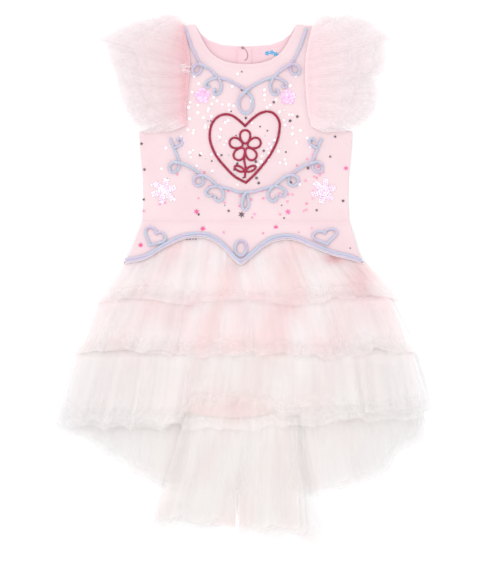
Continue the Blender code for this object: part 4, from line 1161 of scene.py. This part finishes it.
def buildSequins(materials):
    disc, star, bigStar = scatterTree(6, 0.87), scatterTree(5, 0.5), scatterTree(6, 0.45)
    heart = lambda x, y: math.hypot((x - 3) / 46, (y - 190) / 40) < 1.0
    bloom = heartWork["flower"]
    clearOfFlower = lambda x, y: math.hypot(x - bloom["x"], y - bloom["y"]) > 24 and abs(x - 3) > 4
    pearls = list(sequins["pearls"])
    pearls += scattered(16, 3, (3, 186), (30, 30), lambda x, y: heart(x, y) and clearOfFlower(x, y))
    pearls += scattered(16, 5, (-56, 240), (18, 30), lambda x, y: onFront(x, y) and y < 285)
    pearls += scattered(8, 6, (60, 246), (18, 26), lambda x, y: onFront(x, y) and y < 285)
    pearls += scattered(14, 8, (4, 160), (70, 40), lambda x, y: onFront(x, y) and not heart(x, y))
    growPiece("pearl_sequins", sequinPoints(pearls), [], disc,
              {"Size": 4.2 * mm, "Thickness": 3.0 * mm, "Seed": 1}, materials["pearl"])
    slivers = scattered(40, 9, (3, 180), (42, 34), lambda x, y: onFront(x, y) and clearOfFlower(x, y))
    growPiece("silver_slivers", sequinPoints(slivers), [], disc,
              {"Size": 2.4 * mm, "Thickness": 3.0 * mm, "Seed": 8}, materials["silver"])
    pinks = scattered(24, 11, (4, 105), (85, 22), lambda x, y: onFront(x, y) and y < 160)
    pinks += scattered(12, 12, (110, 150), (24, 24), lambda x, y: onFront(x, y) and y < 185)
    pinks += [(-92, 143), (-48, 127), (-54, 146), (-139, 92), (28, 61), (-27, 62), (78, 62), (96, 68)]
    growPiece("pink_dots", sequinPoints(pinks), [], disc,
              {"Size": 3.4 * mm, "Thickness": 3.0 * mm, "Seed": 2}, materials["rose"])
    darks = scattered(14, 13, (4, 170), (70, 60), onFront)
    # dark sequins; those on the yoke edge partly stand in for the shadow under it
    growPiece("dark_dots", sequinPoints(darks + sequins["edgeDarkAndShadow"]), [], disc,
              {"Size": 2.3 * mm, "Thickness": 3.0 * mm, "Seed": 3}, materials["dark"])
    growPiece("dark_stars", sequinPoints(sequins["darkStars"]), [], star,
              {"Size": 5.0 * mm, "Thickness": 3.0 * mm, "Seed": 4}, materials["dark"])
    growPiece("large_star", sequinPoints(sequins["largeStar"]), [], bigStar,
              {"Size": 10.0 * mm, "Thickness": 3.0 * mm, "Seed": 5}, materials["dark"])
    growPiece("pink_stars", sequinPoints(sequins["pinkStars"]), [], bigStar,
              {"Size": 8.4 * mm, "Thickness": 3.0 * mm, "Seed": 6}, materials["pink"])
    patch = []
    for x, y, across, up in sequins["patches"]:
        patch += motifPlaces(x, y, 5, across, 3.0)
    growPiece("chest_flowers", sequinPoints(patch, 0.5), [], disc,
              {"Size": 3.8 * mm, "Thickness": 3.0 * mm, "Seed": 7}, materials["blossom"])
    patch = []
    for x, y in sequins["hipMotifs"]:
        patch += motifPlaces(x, y, 6, 18, 3.2)
    growPiece("hip_flowers", sequinPoints(patch, 0.5), [], disc,
              {"Size": 3.4 * mm, "Thickness": 3.0 * mm, "Seed": 10}, materials["pale"])
    print("sequins done")


def thinThreads(name, routes, radius, material):
    # round threads along routes of points in millimetres
    sides = 6
    points, faces = [], []
    for route in routes:
        laid = roundCurve(route, False, 1.0)
        start, count = len(points), len(laid)
        ahead = np.gradient(laid, axis=0)
        ahead /= np.linalg.norm(ahead, axis=1)[:, None]
        side = np.cross(np.array([0, 0, 1.0]), ahead)
        side /= np.linalg.norm(side, axis=1)[:, None]
        up = np.cross(ahead, side)
        for index in range(count):
            for corner in range(sides):
                turn = 2 * math.pi * corner / sides
                spoke = math.cos(turn) * side[index] + math.sin(turn) * up[index]
                points.append((laid[index] + radius * spoke) * mm)
        for index in range(count - 1):
            for corner in range(sides):
                other = (corner + 1) % sides
                a, b = start + index * sides, start + (index + 1) * sides
                faces.append((a + corner, a + other, b + other, b + corner))
        faces.append(tuple(start + corner for corner in reversed(range(sides))))
        faces.append(tuple(start + (count - 1) * sides + corner for corner in range(sides)))
    return newPiece(name, points, faces, material)


wisps = {"count": 10, "x": -92, "low": 285, "span": 13, "rootHeight": 9.0, "lift": 3.2, "radius": 0.24}


def buildWisps(materials):
    # frayed yarns of the left sleeve's edge that stray over the cord beside the neck
    generator = random.Random(17)
    height = float(frontTop(-74, 305)) + wisps["lift"]
    start = wisps["x"]
    routes = []
    for strand in range(wisps["count"]):
        y = wisps["low"] + wisps["span"] * strand / (wisps["count"] - 1) + generator.uniform(-2, 2)
        reach = generator.uniform(16, 25)
        bow = generator.uniform(-5, 5)
        drop = generator.uniform(-9, 5)
        routes.append([(start, y, wisps["rootHeight"]), (start + 0.35 * reach, y + bow, height + 4.5),
                       (start + 0.7 * reach, y + bow + 0.4 * drop, height + 3.0),
                       (start + reach, y + drop, height)])
    thinThreads("sleeve_left_frayed_yarns", routes, wisps["radius"], materials["white"])
    print("frayed yarns done")


def buildNeckDetails(materials):
    # thread loop and knot that close the back opening, and three small printed flowers
    height = bodice["wall"] + 1.3
    loop = [(0, 321, height), (4, 317, height), (6.5, 311, height), (5.5, 305, height), (2, 303, height)]
    thinThreads("thread_loop", [loop], 0.55, materials["loop"])
    bead = bmesh.new()
    bmesh.ops.create_uvsphere(bead, u_segments=16, v_segments=10, radius=2.0 * mm)
    bmesh.ops.scale(bead, vec=(1, 1.1, 0.6), verts=bead.verts)
    bmesh.ops.translate(bead, vec=(-0.5 * mm, 320.5 * mm, (height + 0.6) * mm), verts=bead.verts)
    mesh = bpy.data.meshes.new("loop_knot")
    bead.to_mesh(mesh)
    bead.free()
    knot = [tuple(vertex.co) for vertex in mesh.vertices]
    newPiece("loop_knot", knot, [tuple(face.vertices) for face in mesh.polygons], materials["loop"])
    spots = []
    for x, y in ((34, 312.5), (40, 314), (46, 311.5)):
        spots += [(x, y)] + [(x + 2.3 * math.cos(a), y + 2.3 * math.sin(a)) for a in np.arange(5) * 1.2566]
    lifted = [(x * mm, y * mm, (bodice["wall"] + 0.12) * mm) for x, y in spots]
    growPiece("neck_print", lifted, [], scatterTree(6, 0.9),
              {"Size": 2.5 * mm, "Thickness": 0.6 * mm, "Seed": 9}, materials["print"])
    print("neck details done")


# Camera, light and floor

view = {"middle": (9.8, -8.1), "height": 791.0, "distance": 6000.0, "sensor": 24.0}
studio = {
    "lamps": (("key", (-1.1, 1.0, 2.6), 2.2, 24), ("fill", (1.6, -0.8, 2.4), 2.6, 10)),
    "skyStrength": 0.99, "tulleBounces": 24, "floorHalf": 4.0, "floorHeight": -0.0003,
}


def buildStage():
    camera = bpy.data.cameras.new("camera")
    camera.sensor_fit = "VERTICAL"
    camera.sensor_height = view["sensor"]
    camera.lens = view["sensor"] * view["distance"] / view["height"]
    camera.clip_end = 50
    holder = bpy.data.objects.new("camera", camera)
    holder.location = (view["middle"][0] * mm, view["middle"][1] * mm, view["distance"] * mm)
    bpy.context.scene.collection.objects.link(holder)
    bpy.context.scene.camera = holder
    for name, place, size, power in studio["lamps"]:
        lamp = bpy.data.lights.new(name, "AREA")
        lamp.size = size
        lamp.energy = power
        made = bpy.data.objects.new(name, lamp)
        made.location = place
        made.rotation_euler = (-Vector(place)).to_track_quat("-Z", "Y").to_euler()
        bpy.context.scene.collection.objects.link(made)
    world = bpy.data.worlds.new("studio")
    world.use_nodes = True
    background = world.node_tree.nodes["Background"]
    background.inputs["Color"].default_value = hexColour("#ffffff")
    background.inputs["Strength"].default_value = studio["skyStrength"]
    bpy.context.scene.world = world
    bpy.context.scene.view_settings.view_transform = "Standard"
    # light passes through many layers of tulle
    bpy.context.scene.cycles.transparent_max_bounces = studio["tulleBounces"]
    finish, tree, shader = newMaterial("white_paper_sweep", {"Roughness": 0.9})
    place = addNode(tree, "ShaderNodeTexCoord")
    grain = addNode(tree, "ShaderNodeTexNoise", values={"Scale": 3.0},
                    links={"Vector": place.outputs["Object"]})
    tones = rampOf(tree, grain.outputs["Fac"], [(0.0, "#fbfbfb"), (1.0, "#ffffff")])
    tree.links.new(tones.outputs[0], shader.inputs["Base Color"])
    half, height = studio["floorHalf"], studio["floorHeight"]
    mesh = bpy.data.meshes.new("floor")
    corners = [(-half, -half, height), (half, -half, height), (half, half, height), (-half, half, height)]
    mesh.from_pydata(corners, [], [(0, 1, 2, 3)])
    mesh.materials.append(finish)
    floor = bpy.data.objects.new("floor", mesh)
    bpy.context.scene.collection.objects.link(floor)


buildStage()
print("stage done")

materials = {
    "blush": tulleMaterial("nylon_tulle_blush", "#fdebed", "#faf0f1", "#f7f2f2", "#fff8f9", 0.33, 0.47, 0.95),
    "ivory": tulleMaterial("nylon_tulle_ivory", "#fbf3f2", "#f9f4f4", "#f6f3f3", "#fffbf9", 0.33, 0.47, 0.5),
    # painted shade: a greyer copy of the tulle for the lower back tiers and the tail, which lie under the
    # front tiers
    "shade": tulleMaterial("nylon_tulle_painted_shade", "#f6efed", "#f4f1ef", "#f1eff0", "#faf6f4", 0.36, 0.52, 0.35),
    # painted shade: a greyer copy of the tulle for the single sheer layers, painted with the grey a single
    # sheer layer shows over the floor
    "veil": tulleMaterial("nylon_tulle_single_painted_shade", "#eae6e8", "#e9e6e8", "#e7e5e7", "#f0ecec", 0.35, 0.47, 0.2),
    # painted shade: the left sleeve's copy of the tulle is darker and pinker, most of all at its root, where
    # shade falls; the right sleeve has the same tulle without it
    "sleeveleft": tulleMaterial("nylon_tulle_sleeve_left_shaded", "#f8cfd6", "#f7e3e6", "#f3ecee", "#ffffff",
                                0.27, 0.43, 0.0),
    "sleeveright": tulleMaterial("nylon_tulle_sleeve_right", "#ffe8ec", "#fcebee", "#f3ecee", "#ffffff",
                                 0.27, 0.43, 0.0),
    "lining": jerseyMaterial("lining_blush_batiste", "#dbd2d1", "#dec5c3"),
    "jersey": jerseyMaterial("cotton_jersey_pale_pink", "#e6d0d4", "#e3cacf"),
    "inside": jerseyMaterial("cotton_jersey_inside", "#eacad1", "#e6c1ca"),
    "cord": chenilleMaterial("chenille_cord_lilac_blue", ("#cbbfda", "#d3cbe0", "#c3cfdf", "#d8c6de")),
    "lilac": chenilleMaterial("chenille_cord_pale_lilac", ("#d9cce4", "#e3d6ea", "#d6cde4", "#e6d3e2")),
    "beads": beadMaterial("glass_seed_beads_crimson", "#8f0434", "#b50a48"),
    "pearl": sequinMaterial("pearl_film_sequins", ("#fff3f6", "#ffffff", "#f4e9ff", "#fff6e6"), 0.15, 0.25),
    "pink": sequinMaterial("pink_foil_sequins", ("#e64a8c", "#f067a4", "#e0559a"), 0.35, 0.3),
    "rose": sequinMaterial("rose_film_sequins", ("#f08fb4", "#f7a6c6", "#ea7fa8"), 0.2, 0.3),
    "silver": sequinMaterial("silver_film_sequins", ("#b9bcc9", "#f2f2fa", "#9a9cb0"), 0.5, 0.25),
    "pale": sequinMaterial("pale_pink_film_sequins", ("#fbd0ec", "#fdf0fb", "#f6c3e6", "#ffffff"), 0.2, 0.25),
    "dark": sequinMaterial("gunmetal_foil_sequins", ("#4a3a44", "#6a5560", "#57454f", "#7a5a68"), 0.45, 0.3),
    "blossom": sequinMaterial("blush_foil_sequins", ("#fbc4e2", "#f9b0de", "#fcd0ec", "#f8bde4"), 0.3, 0.25),
    "thread": threadMaterial("polyester_thread_pink", "#efc4cd", "#f6dde2"),
    "white": threadMaterial("polyester_thread_white", "#f6eef0", "#ffffff"),
    "loop": threadMaterial("thread_loop_rose_brown", "#9a6f6c", "#bd9490"),
    "print": sequinMaterial("blue_transfer_print", ("#2f9fe0", "#37b3d8", "#2a8fd6"), 0.0, 0.6),
}
buildBodice(materials)
buildSkirt(materials)
buildSleeves(materials)
buildCords(materials)
pathTree = buildBeads(materials)
buildStitches(materials, pathTree)
buildSequins(materials)
buildNeckDetails(materials)
buildWisps(materials)
